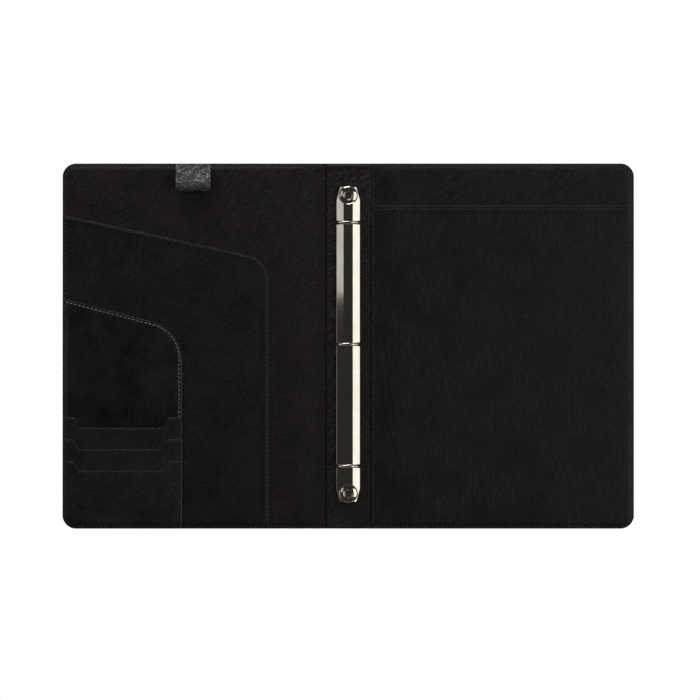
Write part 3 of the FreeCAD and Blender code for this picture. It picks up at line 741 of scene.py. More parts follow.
def make_ring_half(bar, side, name, y):
    """Half a ring: a round wire spun from its tip to its foot, with a tongue on its tip."""
    start = math.asin(TIP / RING_RADIUS)
    place = (side * math.sin(start) * RING_RADIUS, y, RING_LEVEL + math.cos(start) * RING_RADIUS)
    wire = new_piece(bpy.ops.mesh.primitive_circle_add, vertices=20, radius=WIRE, location=place,
                     rotation=(0, side * start + math.pi / 2, 0))
    settle(wire)
    bpy.ops.object.mode_set(mode="EDIT")
    bpy.ops.mesh.select_all(action="SELECT")
    bpy.ops.mesh.spin(steps=44, angle=side * (FOOT_ANGLE - start), center=(0, y, RING_LEVEL),
                      axis=(0, 1, 0))
    bpy.ops.mesh.select_all(action="SELECT")
    bpy.ops.mesh.fill_holes(sides=0)
    bpy.ops.mesh.select_all(action="SELECT")
    bpy.ops.mesh.normals_make_consistent(inside=False)
    bpy.ops.object.mode_set(mode="OBJECT")
    tongue = new_piece(bpy.ops.mesh.primitive_cylinder_add, vertices=20, radius=WIRE,
                       depth=2 * TIP + 0.3 * MM, rotation=(0, math.pi / 2, 0),
                       location=(side * 0.15 * MM, y, RING_LEVEL + RING_RADIUS - 0.03 * MM))
    settle(tongue)
    bpy.ops.object.mode_set(mode="EDIT")
    bpy.ops.mesh.select_all(action="SELECT")
    away = Vector((-math.sin(TIP_TURN), -math.cos(TIP_TURN), 0)) * side
    bpy.ops.mesh.bisect(plane_co=Vector((0, y, RING_LEVEL + RING_RADIUS)) - away * TIP_GAP,
                        plane_no=away, clear_outer=True, use_fill=True)
    bpy.ops.object.mode_set(mode="OBJECT")
    bevel(tongue, 0.12 * MM, 2, 50)
    half = join([wire, tongue])
    shade(half, 40)
    name_piece(half, f"{bar}_ring_half_{name}", "nickel")
    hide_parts(f"{bar}_ring_{name}")
    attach(half, f"{bar}_ring_bar")


# A rivet's seat: radius and height step by step, in towards the rivet
SEAT_RADIUS = 8.1
SEAT_STEPS = ((8.0, 7.2), (7.0, 7.9), (5.6, 8.45), (4.4, 8.7), (4.0, 8.5), (3.9, 5.2))


def upright_cylinder(radius, y, low, high, vertices=64):
    """A cylinder on the plate's centre line."""
    made = new_piece(bpy.ops.mesh.primitive_cylinder_add, vertices=vertices, radius=radius,
                     depth=high - low, location=(0, y, (low + high) / 2))
    return settle(made)


def rivet_seat(y):
    """The domed seat of a rivet, on a base that joins it to the plate."""
    base_top, dome_low = 5.4 * MM, 6.6 * MM
    seat = upright_cylinder(SEAT_RADIUS * MM, y, PLATE_LOW.z + 0.5 * MM, dome_low)
    bpy.ops.object.mode_set(mode="EDIT")
    select_faces(seat, lambda centre, normal: normal.z > 0.9)
    radius, level = SEAT_RADIUS, dome_low / MM
    for next_radius, next_level in SEAT_STEPS:
        rise = (0, 0, (next_level - level) * MM)
        bpy.ops.mesh.extrude_region_move(TRANSFORM_OT_translate={"value": rise})
        share = next_radius / radius
        bpy.ops.transform.resize(value=(share, share, 1), center_override=(0, y, 0))
        radius, level = next_radius, next_level
    bpy.ops.object.mode_set(mode="OBJECT")
    combine(seat, upright_cylinder(8.7 * MM, y, PLATE_LOW.z + 0.3 * MM, base_top), "UNION")
    return seat


def select_faces(piece, wanted):
    """In edit mode, select the faces whose centre and normal are wanted."""
    bpy.ops.mesh.select_mode(type="FACE")
    bpy.ops.mesh.select_all(action="DESELECT")
    bpy.ops.object.mode_set(mode="OBJECT")
    for face in piece.data.polygons:
        face.select = bool(wanted(face.center, face.normal))
    bpy.ops.object.mode_set(mode="EDIT")


def arched_bar(half_width, half_length, low, rim_top, flank_top, crest_top):
    """A closed bar with upright rims, sloping flanks and a flat crest."""
    bar = new_piece(bpy.ops.mesh.primitive_cube_add, size=1,
                    location=(0, RING_MIDDLE, (low + rim_top) / 2))
    bar.scale = (2 * half_width, 2 * half_length, rim_top - low)
    settle(bar)
    bpy.ops.object.mode_set(mode="EDIT")
    select_faces(bar, lambda centre, normal: normal.z > 0.9)
    for rise, narrower in ((flank_top - rim_top, 0.4), (crest_top - flank_top, 0.6)):
        bpy.ops.mesh.extrude_region_move(TRANSFORM_OT_translate={"value": (0, 0, rise)})
        bpy.ops.transform.resize(value=(narrower, 1, 1), center_override=(0, RING_MIDDLE, 0))
    bpy.ops.object.mode_set(mode="OBJECT")
    return bar


def make_cover_plate():
    """The arched cover plate: rims, sloping flanks, a flat crest and a rivet seat at each end."""
    half_width, half_length = PLATE_HIGH.x, 139.6 * MM
    taper_from, end_half = 128 * MM, 7.2 * MM
    body = arched_bar(half_width, half_length, PLATE_LOW.z, 7.2 * MM, 9.5 * MM, 9.8 * MM)
    bpy.ops.object.mode_set(mode="EDIT")
    for side in (-1, 1):
        for sign in (-1, 1):
            corner = Vector((side * half_width, RING_MIDDLE + sign * taper_from))
            outward = Vector((side * (half_length - taper_from), sign * (half_width - end_half)))
            cut_plane(corner, outward.normalized(), clear=True, fill=True)
    bpy.ops.object.mode_set(mode="OBJECT")
    bevel(body, 0.6 * MM, 4, 8)
    wall = 0.72 * MM
    hollow = arched_bar(half_width - wall, 123 * MM, PLATE_LOW.z - wall, 6.7 * MM, 8.8 * MM,
                        9.1 * MM)
    combine(body, hollow, "DIFFERENCE")
    slot_from, slot_depth, slot_level = 5.8, 12, 7.3 * MM
    for y in RINGS.values():
        for side in (-1, 1):
            middle = side * (slot_from + slot_depth / 2) * MM
            slot = new_piece(bpy.ops.mesh.primitive_cylinder_add, vertices=24, radius=1.9 * MM,
                             depth=slot_depth * MM, rotation=(0, math.pi / 2, 0),
                             location=(middle, y, slot_level))
            settle(slot)
            combine(body, slot, "DIFFERENCE")
    for sign in (-1, 1):
        y = RING_MIDDLE + sign * RIVET_OFFSET
        combine(body, upright_cylinder(8.5 * MM, y, 5.3 * MM, 12 * MM), "DIFFERENCE")
        combine(body, rivet_seat(y), "UNION")
    bevel(body, 0.14 * MM, 2, 38)
    shade(body, 30)
    apply_modifier(body, "WEIGHTED_NORMAL", keep_sharp=True, weight=100)
    name_piece(body, "ring_plate_cover", "nickel")
    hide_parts("ring_cover_plate")
    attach(body, "spine")


def make_rivets():
    """Two domed rivet heads, each with a shallow dimple."""
    low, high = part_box("ring_rivets")
    seat = 4.8 * MM
    heads = []
    for sign in (-1, 1):
        y = RING_MIDDLE + sign * RIVET_OFFSET
        head = new_piece(bpy.ops.mesh.primitive_cylinder_add, vertices=48, radius=3.8 * MM,
                         depth=high.z - seat, location=(0, y, (seat + high.z) / 2))
        settle(head)
        bpy.ops.object.mode_set(mode="EDIT")
        select_faces(head, lambda centre, normal: normal.z > 0.9)
        bpy.ops.transform.resize(value=(0.8, 0.8, 1), center_override=(0, y, 0))
        bpy.ops.mesh.inset(thickness=1.3 * MM)
        bpy.ops.transform.translate(value=(0, 0, -0.45 * MM))
        bpy.ops.object.mode_set(mode="OBJECT")
        bevel(head, 0.5 * MM, 4, 20)
        heads.append(head)
    rivets = join(heads)
    shade(rivets, 40)
    name_piece(rivets, "rivet_heads", "nickel")
    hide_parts("ring_rivets")
    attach(rivets, "spine")


# ---------------------------------------------------------------- finishes


def add_node(tree, kind, inputs=None, **settings):
    """Add a node, set it up and join or fill its sockets."""
    made = tree.nodes.new(kind)
    for name, value in settings.items():
        setattr(made, name, value)
    for name, value in (inputs or {}).items():
        if isinstance(value, bpy.types.NodeSocket):
            tree.links.new(value, made.inputs[name])
        else:
            made.inputs[name].default_value = value
    return made


def new_group(name, inputs, outputs):
    """Start a shader node group; returns its tree, its input node and its output node."""
    tree = bpy.data.node_groups.new(name, "ShaderNodeTree")
    for label, kind, value in inputs:
        socket = tree.interface.new_socket(label, in_out="INPUT", socket_type=kind)
        if value is not None:
            socket.default_value = value
    for label, kind in outputs:
        tree.interface.new_socket(label, in_out="OUTPUT", socket_type=kind)
    return tree, tree.nodes.new("NodeGroupInput"), tree.nodes.new("NodeGroupOutput")


def use_group(tree, name, maker, **inputs):
    """Place a shared node group in a material, and make it first if it isn't there."""
    group = bpy.data.node_groups.get(name) or maker(name)
    placed = tree.nodes.new("ShaderNodeGroup")
    placed.node_tree = group
    for label, value in inputs.items():
        socket = placed.inputs[label.replace("_", " ").capitalize()]
        if isinstance(value, bpy.types.NodeSocket):
            tree.links.new(value, socket)
        else:
            socket.default_value = value
    return placed


def maths(tree, operation, first, second):
    """Join two values with a Math node and return its result."""
    return add_node(tree, "ShaderNodeMath", {0: first, 1: second}, operation=operation).outputs[0]


def crease_lines(tree, in_mm, turn, scale, width):
    """Thin wandering creases, long along a turned X axis: 0 in a crease and 1 between them."""
    turned = add_node(tree, "ShaderNodeMapping", {"Vector": in_mm, "Rotation": (0, 0, turn),
                                                  "Scale": scale}, vector_type="TEXTURE")
    crease = add_node(tree, "ShaderNodeTexNoise",
                      {"Vector": turned.outputs[0], "Scale": 1.0, "Detail": 3.0,
                       "Roughness": 0.55, "Distortion": 0.8})
    away = maths(tree, "ABSOLUTE", maths(tree, "SUBTRACT", crease.outputs["Fac"], 0.5), 0.0)
    lines = add_node(tree, "ShaderNodeMapRange", {"Value": away, "From Max": width},
                     interpolation_type="SMOOTHSTEP")
    return lines.outputs[0]


def grain_group(name):
    """Leather grain: pebbles, pores and creases two ways, as a height, and broad patches."""
    tree, given, result = new_group(
        name,
        (("Place", "NodeSocketVector", None), ("Pebbles per mm", "NodeSocketFloat", 0.7),
         ("Slanting", "NodeSocketFloat", 0.3), ("Upright", "NodeSocketFloat", 0.3)),
        (("Height", "NodeSocketFloat"), ("Patches", "NodeSocketFloat")))
    in_mm = add_node(tree, "ShaderNodeMapping", {"Vector": given.outputs["Place"],
                                                 "Scale": (1000, 1000, 1000)}).outputs[0]
    warp = add_node(tree, "ShaderNodeTexNoise", {"Vector": in_mm, "Scale": 0.5, "Detail": 2.0})
    warped = add_node(tree, "ShaderNodeVectorMath", {0: in_mm, 1: warp.outputs["Color"]})
    pebbles = add_node(tree, "ShaderNodeTexVoronoi",
                       {"Vector": warped.outputs[0], "Scale": given.outputs["Pebbles per mm"]},
                       feature="DISTANCE_TO_EDGE")
    domes = add_node(tree, "ShaderNodeMapRange",
                     {"Value": pebbles.outputs["Distance"], "From Max": 0.25},
                     interpolation_type="SMOOTHSTEP").outputs[0]
    fine = add_node(tree, "ShaderNodeTexNoise",
                    {"Vector": in_mm, "Scale": 0.9, "Detail": 5.0, "Roughness": 0.7})
    patches = add_node(tree, "ShaderNodeTexNoise",
                       {"Vector": in_mm, "Scale": 0.028, "Detail": 2.0, "Roughness": 0.5})
    where = add_node(tree, "ShaderNodeMapRange",
                     {"Value": patches.outputs["Fac"], "From Min": 0.38, "From Max": 0.6})
    slanting = crease_lines(tree, in_mm, math.radians(42), (13, 4, 5), 0.05)
    upright = crease_lines(tree, in_mm, math.radians(98), (15, 4.5, 5), 0.05)
    grain = maths(tree, "ADD", maths(tree, "MULTIPLY", domes, 0.35),
                  maths(tree, "MULTIPLY", fine.outputs["Fac"], 1.1))
    slanting = maths(tree, "MULTIPLY", slanting, given.outputs["Slanting"])
    upright = maths(tree, "MULTIPLY", upright, given.outputs["Upright"])
    upright = maths(tree, "MULTIPLY", upright, where.outputs[0])
    total = maths(tree, "ADD", grain, maths(tree, "ADD", slanting, upright))
    tree.links.new(total, result.inputs["Height"])
    tree.links.new(patches.outputs["Fac"], result.inputs["Patches"])
    return tree


def tone_group(name):
    """Leather colour: two tones in soft mottling, paler where the leather is rubbed."""
    tree, given, result = new_group(
        name,
        (("Place", "NodeSocketVector", None), ("Dark", "NodeSocketColor", None),
         ("Warm", "NodeSocketColor", None), ("Rubbed", "NodeSocketColor", None)),
        (("Color", "NodeSocketColor"),))
    mottle = add_node(tree, "ShaderNodeTexNoise",
                      {"Vector": given.outputs["Place"], "Scale": 55.0, "Detail": 6.0,
                       "Roughness": 0.7})
    spread = add_node(tree, "ShaderNodeMapRange",
                      {"Value": mottle.outputs["Fac"], "From Min": 0.38, "From Max": 0.64})
    tone = add_node(tree, "ShaderNodeMix", {"Factor": spread.outputs[0]}, data_type="RGBA")
    tree.links.new(given.outputs["Dark"], tone.inputs["A"])
    tree.links.new(given.outputs["Warm"], tone.inputs["B"])
    mark = add_node(tree, "ShaderNodeAttribute", attribute_name="rubbed")
    breaks = add_node(tree, "ShaderNodeTexNoise",
                      {"Vector": given.outputs["Place"], "Scale": 900.0, "Detail": 3.0})
    worn = maths(tree, "MULTIPLY", mark.outputs["Fac"], breaks.outputs["Fac"])
    pale = add_node(tree, "ShaderNodeMix", {"Factor": worn}, data_type="RGBA")
    tree.links.new(tone.outputs["Result"], pale.inputs["A"])
    tree.links.new(given.outputs["Rubbed"], pale.inputs["B"])
    tree.links.new(pale.outputs["Result"], result.inputs["Color"])
    return tree


def metal_group(name):
    """Plated metal: a slightly uneven tone, smudges in its gloss and fine rub marks."""
    tree, given, result = new_group(
        name,
        (("Place", "NodeSocketVector", None), ("Bright", "NodeSocketColor", None),
         ("Dull", "NodeSocketColor", None), ("Smooth", "NodeSocketFloat", 0.1),
         ("Rough", "NodeSocketFloat", 0.25)),
        (("Color", "NodeSocketColor"), ("Roughness", "NodeSocketFloat"),
         ("Height", "NodeSocketFloat")))
    cloud = add_node(tree, "ShaderNodeTexNoise",
                     {"Vector": given.outputs["Place"], "Scale": 70.0, "Detail": 6.0,
                      "Roughness": 0.65})
    spread = add_node(tree, "ShaderNodeMapRange",
                      {"Value": cloud.outputs["Fac"], "From Min": 0.35, "From Max": 0.7})
    tone = add_node(tree, "ShaderNodeMix", {"Factor": spread.outputs[0]}, data_type="RGBA")
    tree.links.new(given.outputs["Bright"], tone.inputs["A"])
    tree.links.new(given.outputs["Dull"], tone.inputs["B"])
    gloss = add_node(tree, "ShaderNodeMapRange", {"Value": cloud.outputs["Fac"]})
    tree.links.new(given.outputs["Smooth"], gloss.inputs["To Min"])
    tree.links.new(given.outputs["Rough"], gloss.inputs["To Max"])
    drawn = add_node(tree, "ShaderNodeMapping",
                     {"Vector": given.outputs["Place"], "Scale": (2500, 60, 2500)})
    marks = add_node(tree, "ShaderNodeTexNoise",
                     {"Vector": drawn.outputs[0], "Scale": 1.0, "Detail": 2.0})
    tree.links.new(tone.outputs["Result"], result.inputs["Color"])
    tree.links.new(gloss.outputs[0], result.inputs["Roughness"])
    tree.links.new(marks.outputs["Fac"], result.inputs["Height"])
    return tree


def start_finish(name):
    """A new material with its shader and the place on the piece as a vector."""
    material = bpy.data.materials.new(f"{name}_finish")
    material.use_nodes = True
    tree = material.node_tree
    place = tree.nodes.new("ShaderNodeTexCoord").outputs["Object"]
    return material, tree, tree.nodes["Principled BSDF"], place


def add_bump(tree, shader, height, strength, depth):
    """Feed a height into the shader's normal through a Bump node."""
    bump = add_node(tree, "ShaderNodeBump", {"Height": height, "Strength": strength,
                                             "Distance": depth})
    tree.links.new(bump.outputs[0], shader.inputs["Normal"])


def leather(name, dark, warm, gloss, pebbles, creases, strength, polish=1.48):
    """A black leather: mottled tone, pebbled grain, creases and a patchy sheen.

    Polish is its refractive index: the more, the stronger its shine.
    """
    look = bpy.context.scene.case_leather
    material, tree, shader, place = start_finish(name)
    tone = use_group(tree, "Leather tone", tone_group, place=place, dark=(*dark, 1),
                     warm=(*warm, 1), rubbed=(*look.rubbed, 1))
    grain = use_group(tree, "Leather grain", grain_group, place=place, slanting=creases[0],
                      upright=creases[1])
    grain.inputs["Pebbles per mm"].default_value = pebbles
    sheen = add_node(tree, "ShaderNodeMapRange",
                     {"Value": grain.outputs["Patches"], "From Min": 0.35, "From Max": 0.65,
                      "To Min": gloss[0], "To Max": gloss[1]})
    tree.links.new(tone.outputs["Color"], shader.inputs["Base Color"])
    tree.links.new(sheen.outputs[0], shader.inputs["Roughness"])
    shader.inputs["IOR"].default_value = polish
    add_bump(tree, shader, grain.outputs["Height"], 1.0, look.grain_depth * strength)
    return material


def metal(name, bright, dull, smooth_gloss, rough_gloss, strength):
    """A plated metal."""
    material, tree, shader, place = start_finish(name)
    marks = use_group(tree, "Plated metal", metal_group, place=place, bright=(*bright, 1),
                      dull=(*dull, 1), smooth=smooth_gloss, rough=rough_gloss)
    tree.links.new(marks.outputs["Color"], shader.inputs["Base Color"])
    tree.links.new(marks.outputs["Roughness"], shader.inputs["Roughness"])
    shader.inputs["Metallic"].default_value = 1.0
    add_bump(tree, shader, marks.outputs["Height"], strength, 0.02 * MM)
    return material


def thread(name, dark, pale):
    """Waxed thread, with the lay of its strands."""
    material, tree, shader, place = start_finish(name)
    strands = add_node(tree, "ShaderNodeTexWave", {"Vector": place, "Scale": 900.0,
                                                   "Distortion": 1.5}, bands_direction="DIAGONAL")
    tone = add_node(tree, "ShaderNodeMix", {"Factor": strands.outputs["Fac"],
                                            "A": (*dark, 1), "B": (*pale, 1)},
                    data_type="RGBA")
    tree.links.new(tone.outputs["Result"], shader.inputs["Base Color"])
    shader.inputs["Roughness"].default_value = 0.34
    add_bump(tree, shader, strands.outputs["Fac"], 0.5, 0.08 * MM)
    return material


def fibre_board():
    """Grey pressed board, flecked with fibres."""
    material, tree, shader, place = start_finish("greyboard")
    flecks = add_node(tree, "ShaderNodeTexNoise", {"Vector": place, "Scale": 1200.0,
                                                   "Detail": 5.0, "Roughness": 0.8})
    tone = add_node(tree, "ShaderNodeMix", {"Factor": flecks.outputs["Fac"],
                                            "A": (0.22, 0.2, 0.18, 1),
                                            "B": (0.42, 0.4, 0.36, 1)}, data_type="RGBA")
    tree.links.new(tone.outputs["Result"], shader.inputs["Base Color"])
    shader.inputs["Roughness"].default_value = 0.85
    add_bump(tree, shader, flecks.outputs["Fac"], 0.3, 0.1 * MM)
    return material


def foam_sheet():
    """Dark closed-cell foam."""
    material, tree, shader, place = start_finish("foam")
    cells = add_node(tree, "ShaderNodeTexVoronoi", {"Vector": place, "Scale": 2200.0})
    tone = add_node(tree, "ShaderNodeMix", {"Factor": cells.outputs["Distance"],
                                            "A": (0.02, 0.02, 0.02, 1),
                                            "B": (0.07, 0.07, 0.07, 1)}, data_type="RGBA")
    tree.links.new(tone.outputs["Result"], shader.inputs["Base Color"])
    shader.inputs["Roughness"].default_value = 0.8
    add_bump(tree, shader, cells.outputs["Distance"], 0.6, 0.15 * MM)
    return material


def make_finish(name):
    """Make one of the case's finishes."""
    look = bpy.context.scene.case_leather
    black, brown, grey = tuple(look.black), tuple(look.brown), tuple(look.grey)
    deep = tuple(0.6 * part for part in black)
    painted_light = tuple(look.painted_light)
    # dark and warm tones, gloss, pebbles per mm, slanting and upright creases, depth, polish
    leathers = {
        "outer_leather": (black, brown, (0.36, 0.5), 0.6, (0.4, 0.2), 0.6),
        "lining_leather": (black, brown, (0.36, 0.5), 0.7, (0.4, 0.1), 0.75),
        "spine_leather": (black, brown, (0.34, 0.46), 0.55, (1.2, 0.2), 0.9),
        "pocket_leather": (deep, black, (0.36, 0.5), 0.7, (0.35, 0.2), 0.75),
        "notepad_leather": (grey, grey, (0.36, 0.5), 0.7, (0.25, 0.8), 0.75),
        # The card slot strips and the card panel mottle towards the paler tone of painted light; the strips'
        # finish is a lit copy of the pocket leather.
        "strip_leather": (black, painted_light, (0.34, 0.48), 0.7, (0.3, 0.3), 0.9),
        "glossy_leather": (deep, painted_light, (0.25, 0.4), 0.75, (0.2, 0.1), 0.5, 1.55),
        "strap_leather": (black, brown, (0.14, 0.26), 0.4, (2.4, 1.2), 1.5, 2.2),
    }
    # bright and dull tones, smoothest and roughest gloss, depth of the rub marks
    metals = {
        "nickel": ((0.85, 0.8, 0.71), (0.74, 0.67, 0.55), 0.03, 0.08, 0.1),
        "steel": ((0.62, 0.61, 0.59), (0.5, 0.49, 0.47), 0.2, 0.4, 0.3),
    }
    # dark and pale tones
    threads = {
        # One black thread at three brightnesses: the first, a little paler than the leather so that its stitches
        # show as light dashes, is partly painted highlight; the second, darker, is painted shade for rows that
        # catch little light; the third, much paler, is painted highlight on the card panel's stitches.
        "thread": ((0.035, 0.032, 0.03), (0.09, 0.082, 0.075)),
        "dark_thread": ((0.012, 0.011, 0.01), (0.045, 0.04, 0.037)),
        "pale_thread": ((0.22, 0.204, 0.19), (0.46, 0.43, 0.4)),
    }
    for maker, finishes in ((leather, leathers), (metal, metals), (thread, threads)):
        if name in finishes:
            return maker(name, *finishes[name])
    return {"greyboard": fibre_board, "foam": foam_sheet}[name]()


def finish_named(name):
    """The material of a finish, made the first time that it is asked for."""
    return bpy.data.materials.get(f"{name}_finish") or make_finish(name)


# ---------------------------------------------------------------- the stage


# Soft lights: place, target and size
SOFTBOXES = {"right": ((1.15, 0, 1.15), (0, 0, 0), (1.5, 0.9)),
             "left": ((-1.0, 0.457, 1.1), (0, 0.457, 0), (0.8, 0.5)),
             "top": ((-0.3, 1.2, 0.31), (0, 0.1, 0), (1.0, 0.6))}


def add_softbox(name, place, target, size, power):
    """A soft rectangular light that looks at a target and isn't seen itself."""
    bpy.ops.object.select_all(action="DESELECT")
    bpy.ops.object.light_add(type="AREA", location=place)
    lamp = bpy.context.object
    lamp.name = name
    lamp.data.shape = "RECTANGLE"
    lamp.data.size, lamp.data.size_y = size
    lamp.data.energy = power
    lamp.rotation_euler = (Vector(place) - Vector(target)).to_track_quat("Z", "Y").to_euler()
    lamp.visible_camera = False


def show_camera(tree, output, shown, lit):
    """Show one shader to the camera, and let another light everything else."""
    rays = tree.nodes.new("ShaderNodeLightPath")
    mix = tree.nodes.new("ShaderNodeMixShader")
    tree.links.new(rays.outputs["Is Camera Ray"], mix.inputs[0])
    tree.links.new(lit.outputs[0], mix.inputs[1])
    tree.links.new(shown.outputs[0], mix.inputs[2])
    tree.links.new(mix.outputs[0], tree.nodes[output].inputs["Surface"])


def make_world(brightness, flanks, horizon):
    """A world white to the camera, with an even fill and a glow low all round.

    The glow is stronger at both sides. Each begins and is full at a share of a heading's
    sideways part, or of the square of its upward part.
    """
    world = bpy.data.worlds.new("studio")
    world.use_nodes = True
    tree = world.node_tree
    shown = add_node(tree, "ShaderNodeBackground", {"Color": (1, 1, 1, 1), "Strength": 1.0})
    heading = tree.nodes.new("ShaderNodeTexCoord").outputs["Generated"]
    axes = add_node(tree, "ShaderNodeSeparateXYZ", {0: heading}).outputs
    side_begins, side_full = 0.82, 0.95
    sides = add_node(tree, "ShaderNodeMapRange",
                     {"Value": maths(tree, "ABSOLUTE", axes["X"], 0.0), "From Min": side_begins,
                      "From Max": side_full, "To Min": brightness, "To Max": flanks})
    low_full, low_ends = 0.06, 0.28
    steepness = maths(tree, "MULTIPLY", axes["Z"], axes["Z"])
    low = add_node(tree, "ShaderNodeMapRange",
                   {"Value": steepness, "From Min": low_full, "From Max": low_ends,
                    "To Min": horizon, "To Max": brightness})
    glow = maths(tree, "MAXIMUM", sides.outputs[0], low.outputs[0])
    fill = add_node(tree, "ShaderNodeBackground", {"Color": (1, 1, 1, 1), "Strength": glow})
    show_camera(tree, "World Output", shown, fill)
    bpy.context.scene.world = world


def make_floor():
    """A plain pale floor that glows a little, so that it stays even."""
    floor = new_piece(bpy.ops.mesh.primitive_plane_add, size=30)
    floor.name = "studio_floor"
    material, tree, shader, _ = start_finish("studio_floor")
    shader.inputs["Base Color"].default_value = (0.7, 0.7, 0.7, 1)
    shader.inputs["Roughness"].default_value = 0.9
    glow = add_node(tree, "ShaderNodeEmission", {"Color": (1, 1, 1, 1), "Strength": 1.0})
    show_camera(tree, "Material Output", glow, shader)
    floor.data.materials.append(material)
    floor.location.z = -0.2 * MM


def make_camera():
    """A long lens that looks straight down at the open case."""
    studio = bpy.context.scene.case_studio
    bpy.ops.object.select_all(action="DESELECT")
    bpy.ops.object.camera_add(location=(studio.aim[0], studio.aim[1], studio.distance),
                              rotation=(0, 0, 0))
    camera = bpy.context.object
    camera.name = "studio_camera"
    camera.data.sensor_width = 36
    camera.data.lens = 36 * studio.distance / studio.view_width
    bpy.context.scene.camera = camera


# ---------------------------------------------------------------- settings


class CaseLeather(bpy.types.PropertyGroup):
    """Colours and grain of the leather."""

    black: bpy.props.FloatVectorProperty(
        name="Black", description="Main tone of the leather", subtype="COLOR",
        default=(0.0106, 0.0075, 0.0064))
    brown: bpy.props.FloatVectorProperty(
        name="Brown", description="Warm tone of its mottling", subtype="COLOR",
        default=(0.019, 0.0102, 0.0083))
    grey: bpy.props.FloatVectorProperty(
        name="Grey", description="Tone of the leather without warmth", subtype="COLOR",
        default=(0.0062, 0.0058, 0.0057))
    # A paler tone painted on the card slot strips and the card panel: painted light that makes up for the weaker
    # light at the lower left of the front cover.
    painted_light: bpy.props.FloatVectorProperty(
        name="Painted light", description="Tone of the patches of painted light on the card slots",
        subtype="COLOR", default=(0.0155, 0.0146, 0.013))
    rubbed: bpy.props.FloatVectorProperty(
        name="Rubbed", description="Tone of edges rubbed by use", subtype="COLOR",
        default=(0.035, 0.03, 0.027))
    grain_depth: bpy.props.FloatProperty(
        name="Grain depth", description="Depth of the grain", subtype="DISTANCE",
        unit="LENGTH", default=0.3 * MM)


class CaseSewing(bpy.types.PropertyGroup):
    """Sizes of the stitches."""

    rim_pitch: bpy.props.FloatProperty(
        name="Rim pitch", description="From stitch to stitch round the rim",
        unit="LENGTH", default=3.9 * MM)
    hinge_pitch: bpy.props.FloatProperty(
        name="Hinge pitch", description="From stitch to stitch along the hinges",
        unit="LENGTH", default=4.4 * MM)
    pocket_pitch: bpy.props.FloatProperty(
        name="Pocket pitch", description="From stitch to stitch on the pockets",
        unit="LENGTH", default=3.8 * MM)
    thickness: bpy.props.FloatProperty(
        name="Thread", description="Thickness of the thread", unit="LENGTH", default=0.95 * MM)
    length: bpy.props.FloatProperty(
        name="Length", description="Length of a stitch as a share of the pitch",
        subtype="FACTOR", default=0.78)
    skew: bpy.props.FloatProperty(
        name="Skew", description="Turn of a stitch off its line, in degrees", default=4.0)
    proud: bpy.props.FloatProperty(
        name="Proud", description="Share of the thread's thickness above the leather",
        subtype="FACTOR", default=0.3)


class CaseStudio(bpy.types.PropertyGroup):
    """Camera and lights."""

    distance: bpy.props.FloatProperty(
        name="Distance", description="Height of the camera", unit="LENGTH", default=6.0)
    view_width: bpy.props.FloatProperty(
        name="View width", description="Width of the view at the case", unit="LENGTH",
        default=0.6217)
    aim: bpy.props.FloatVectorProperty(
        name="Aim", description="Point under the camera", size=2, unit="LENGTH",
        default=(1.55 * MM, -3.5 * MM))
    right_power: bpy.props.FloatProperty(
        name="Right light", description="Power of the light at the right", unit="POWER",
        default=5.1)
    left_power: bpy.props.FloatProperty(
        name="Left light", description="Power of the light at the left", unit="POWER",
        default=0.7)
    top_power: bpy.props.FloatProperty(
        name="Top light", description="Power of the light beyond the top edge", unit="POWER",
        default=5.2)
    fill: bpy.props.FloatProperty(
        name="Fill", description="Brightness of the even fill", default=0.026)
    side_glow: bpy.props.FloatProperty(
        name="Side glow", description="Brightness low at the left and right", default=0.7)
    low_glow: bpy.props.FloatProperty(
        name="Low glow", description="Brightness low all round", default=0.2)


# ---------------------------------------------------------------- operators


class CASE_OT_stage(bpy.types.Operator):
    """Add the floor, the lights and the camera"""

    bl_idname = "portfolio.stage"
    bl_label = "Stage"

    def execute(self, context):
        studio = context.scene.case_studio
        context.scene.view_settings.view_transform = "Standard"
        make_camera()
        make_world(studio.fill, studio.side_glow, studio.low_glow)
        make_floor()
        for name, (place, target, size) in SOFTBOXES.items():
            add_softbox(f"{name}_softbox", place, target, size, getattr(studio, f"{name}_power"))
        return {"FINISHED"}


class CASE_OT_skins(bpy.types.Operator):
    """Make the outer leathers of the covers, hinges and spine"""

    bl_idname = "portfolio.skins"
    bl_label = "Outer skins"

    def execute(self, context):
        for cover in SIDES:
            make_skin(cover)
        return {"FINISHED"}


class CASE_OT_linings(bpy.types.Operator):
    """Make the linings of the covers and the spine"""

    bl_idname = "portfolio.linings"
    bl_label = "Linings"

    def execute(self, context):
        for cover in SIDES:
            make_lining(cover)
        make_spine_lining()
        return {"FINISHED"}


class CASE_OT_pockets(bpy.types.Operator):
    """Make the document pocket, the card panel and the notepad pocket"""

    bl_idname = "portfolio.pockets"
    bl_label = "Pockets"

    def execute(self, context):
        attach(make_pocket("document_pocket_leather", "document_pocket", DOCUMENT_POCKET,
                            document_height, "pocket_leather"),
                "front_cover")
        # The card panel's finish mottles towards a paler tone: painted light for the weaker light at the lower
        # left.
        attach(make_pocket("card_panel_leather", "card_panel", CARD_PANEL, card_height,
                            "glossy_leather"), "front_cover")
        side = SIDES["back"]
        bend_at_hinge(make_pocket("notepad_pocket_leather", "notepad_pocket", NOTEPAD_POCKET,
                                  notepad_height, "notepad_leather",
                                  hinge_folds(side)), side)
        return {"FINISHED"}


class CASE_OT_card_slots(bpy.types.Operator):
    """Make the card slot strips"""

    bl_idname = "portfolio.card_slots"
    bl_label = "Card slots"

    def execute(self, context):
        for index, name in enumerate(STRIP_NAMES):
            make_card_strip(index, name)
        return {"FINISHED"}


class CASE_OT_pen_loop(bpy.types.Operator):
    """Make the pen loop"""

    bl_idname = "portfolio.pen_loop"
    bl_label = "Pen loop"

    def execute(self, context):
        make_pen_loop()
        return {"FINISHED"}


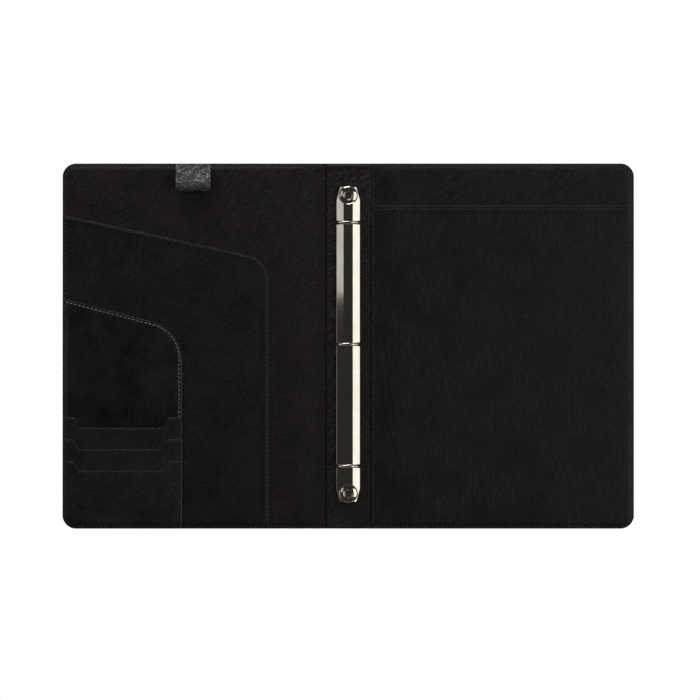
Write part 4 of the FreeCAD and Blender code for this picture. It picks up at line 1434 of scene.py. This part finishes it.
class CASE_OT_stitches(bpy.types.Operator):
    """Sew the rims, hinges, pockets and card slots"""

    bl_idname = "portfolio.stitches"
    bl_label = "Stitches"

    def execute(self, context):
        make_rim_stitches("front", front_height)
        make_rim_stitches("back", back_height)
        make_spine_stitches()
        make_pocket_stitches()
        return {"FINISHED"}


class CASE_OT_ring_mechanism(bpy.types.Operator):
    """Make the cover plate, the rings and the rivets"""

    bl_idname = "portfolio.ring_mechanism"
    bl_label = "Ring mechanism"

    def execute(self, context):
        make_cover_plate()
        make_rivets()
        for name, y in RINGS.items():
            make_ring_half("left", -1, name, y)
            make_ring_half("right", 1, name, y)
        return {"FINISHED"}


class CASE_OT_inner_parts(bpy.types.Operator):
    """Finish the boards, foam, hinge blades and washers inside the case"""

    bl_idname = "portfolio.inner_parts"
    bl_label = "Inner parts"

    def execute(self, context):
        slots = {part["node"]: part["material_slot"] for part in frame["record"]["subparts"]}
        for name, node in frame["nodes"].items():
            if not node.hide_render:
                node.data.materials.clear()
                node.data.materials.append(finish_named(slots[name]))
        return {"FINISHED"}


class CASE_PT_panel(bpy.types.Panel):
    """Lists what makes the portfolio case"""

    bl_idname = "CASE_PT_panel"
    bl_label = "Portfolio case"
    bl_space_type = "VIEW_3D"
    bl_region_type = "UI"
    bl_category = "Portfolio case"

    def draw(self, context):
        """List the settings and the operators."""
        for group in (context.scene.case_leather, context.scene.case_sewing,
                      context.scene.case_studio):
            for name in group.bl_rna.properties.keys():
                if name not in ("rna_type", "name"):
                    self.layout.prop(group, name)
        for operator in OPERATORS:
            self.layout.operator(operator.bl_idname)


OPERATORS = (CASE_OT_stage, CASE_OT_skins, CASE_OT_linings, CASE_OT_pockets, CASE_OT_card_slots,
             CASE_OT_pen_loop, CASE_OT_stitches, CASE_OT_ring_mechanism, CASE_OT_inner_parts)
SETTINGS = {"case_leather": CaseLeather, "case_sewing": CaseSewing, "case_studio": CaseStudio}


def register():
    """Register the settings, the operators and the panel."""
    for name, group in SETTINGS.items():
        bpy.utils.register_class(group)
        setattr(bpy.types.Scene, name, bpy.props.PointerProperty(type=group))
    for operator in OPERATORS:
        bpy.utils.register_class(operator)
    bpy.utils.register_class(CASE_PT_panel)


def unregister():
    """Take the panel, the operators and the settings away again."""
    bpy.utils.unregister_class(CASE_PT_panel)
    for operator in reversed(OPERATORS):
        bpy.utils.unregister_class(operator)
    for name, group in SETTINGS.items():
        delattr(bpy.types.Scene, name)
        bpy.utils.unregister_class(group)


def main():
    """Make the whole case on its stage."""
    register()
    bpy.ops.portfolio.stage()
    bpy.ops.portfolio.skins()
    bpy.ops.portfolio.linings()
    bpy.ops.portfolio.pockets()
    bpy.ops.portfolio.card_slots()
    bpy.ops.portfolio.pen_loop()
    bpy.ops.portfolio.stitches()
    bpy.ops.portfolio.ring_mechanism()
    bpy.ops.portfolio.inner_parts()


if __name__ == "__main__":
    main()
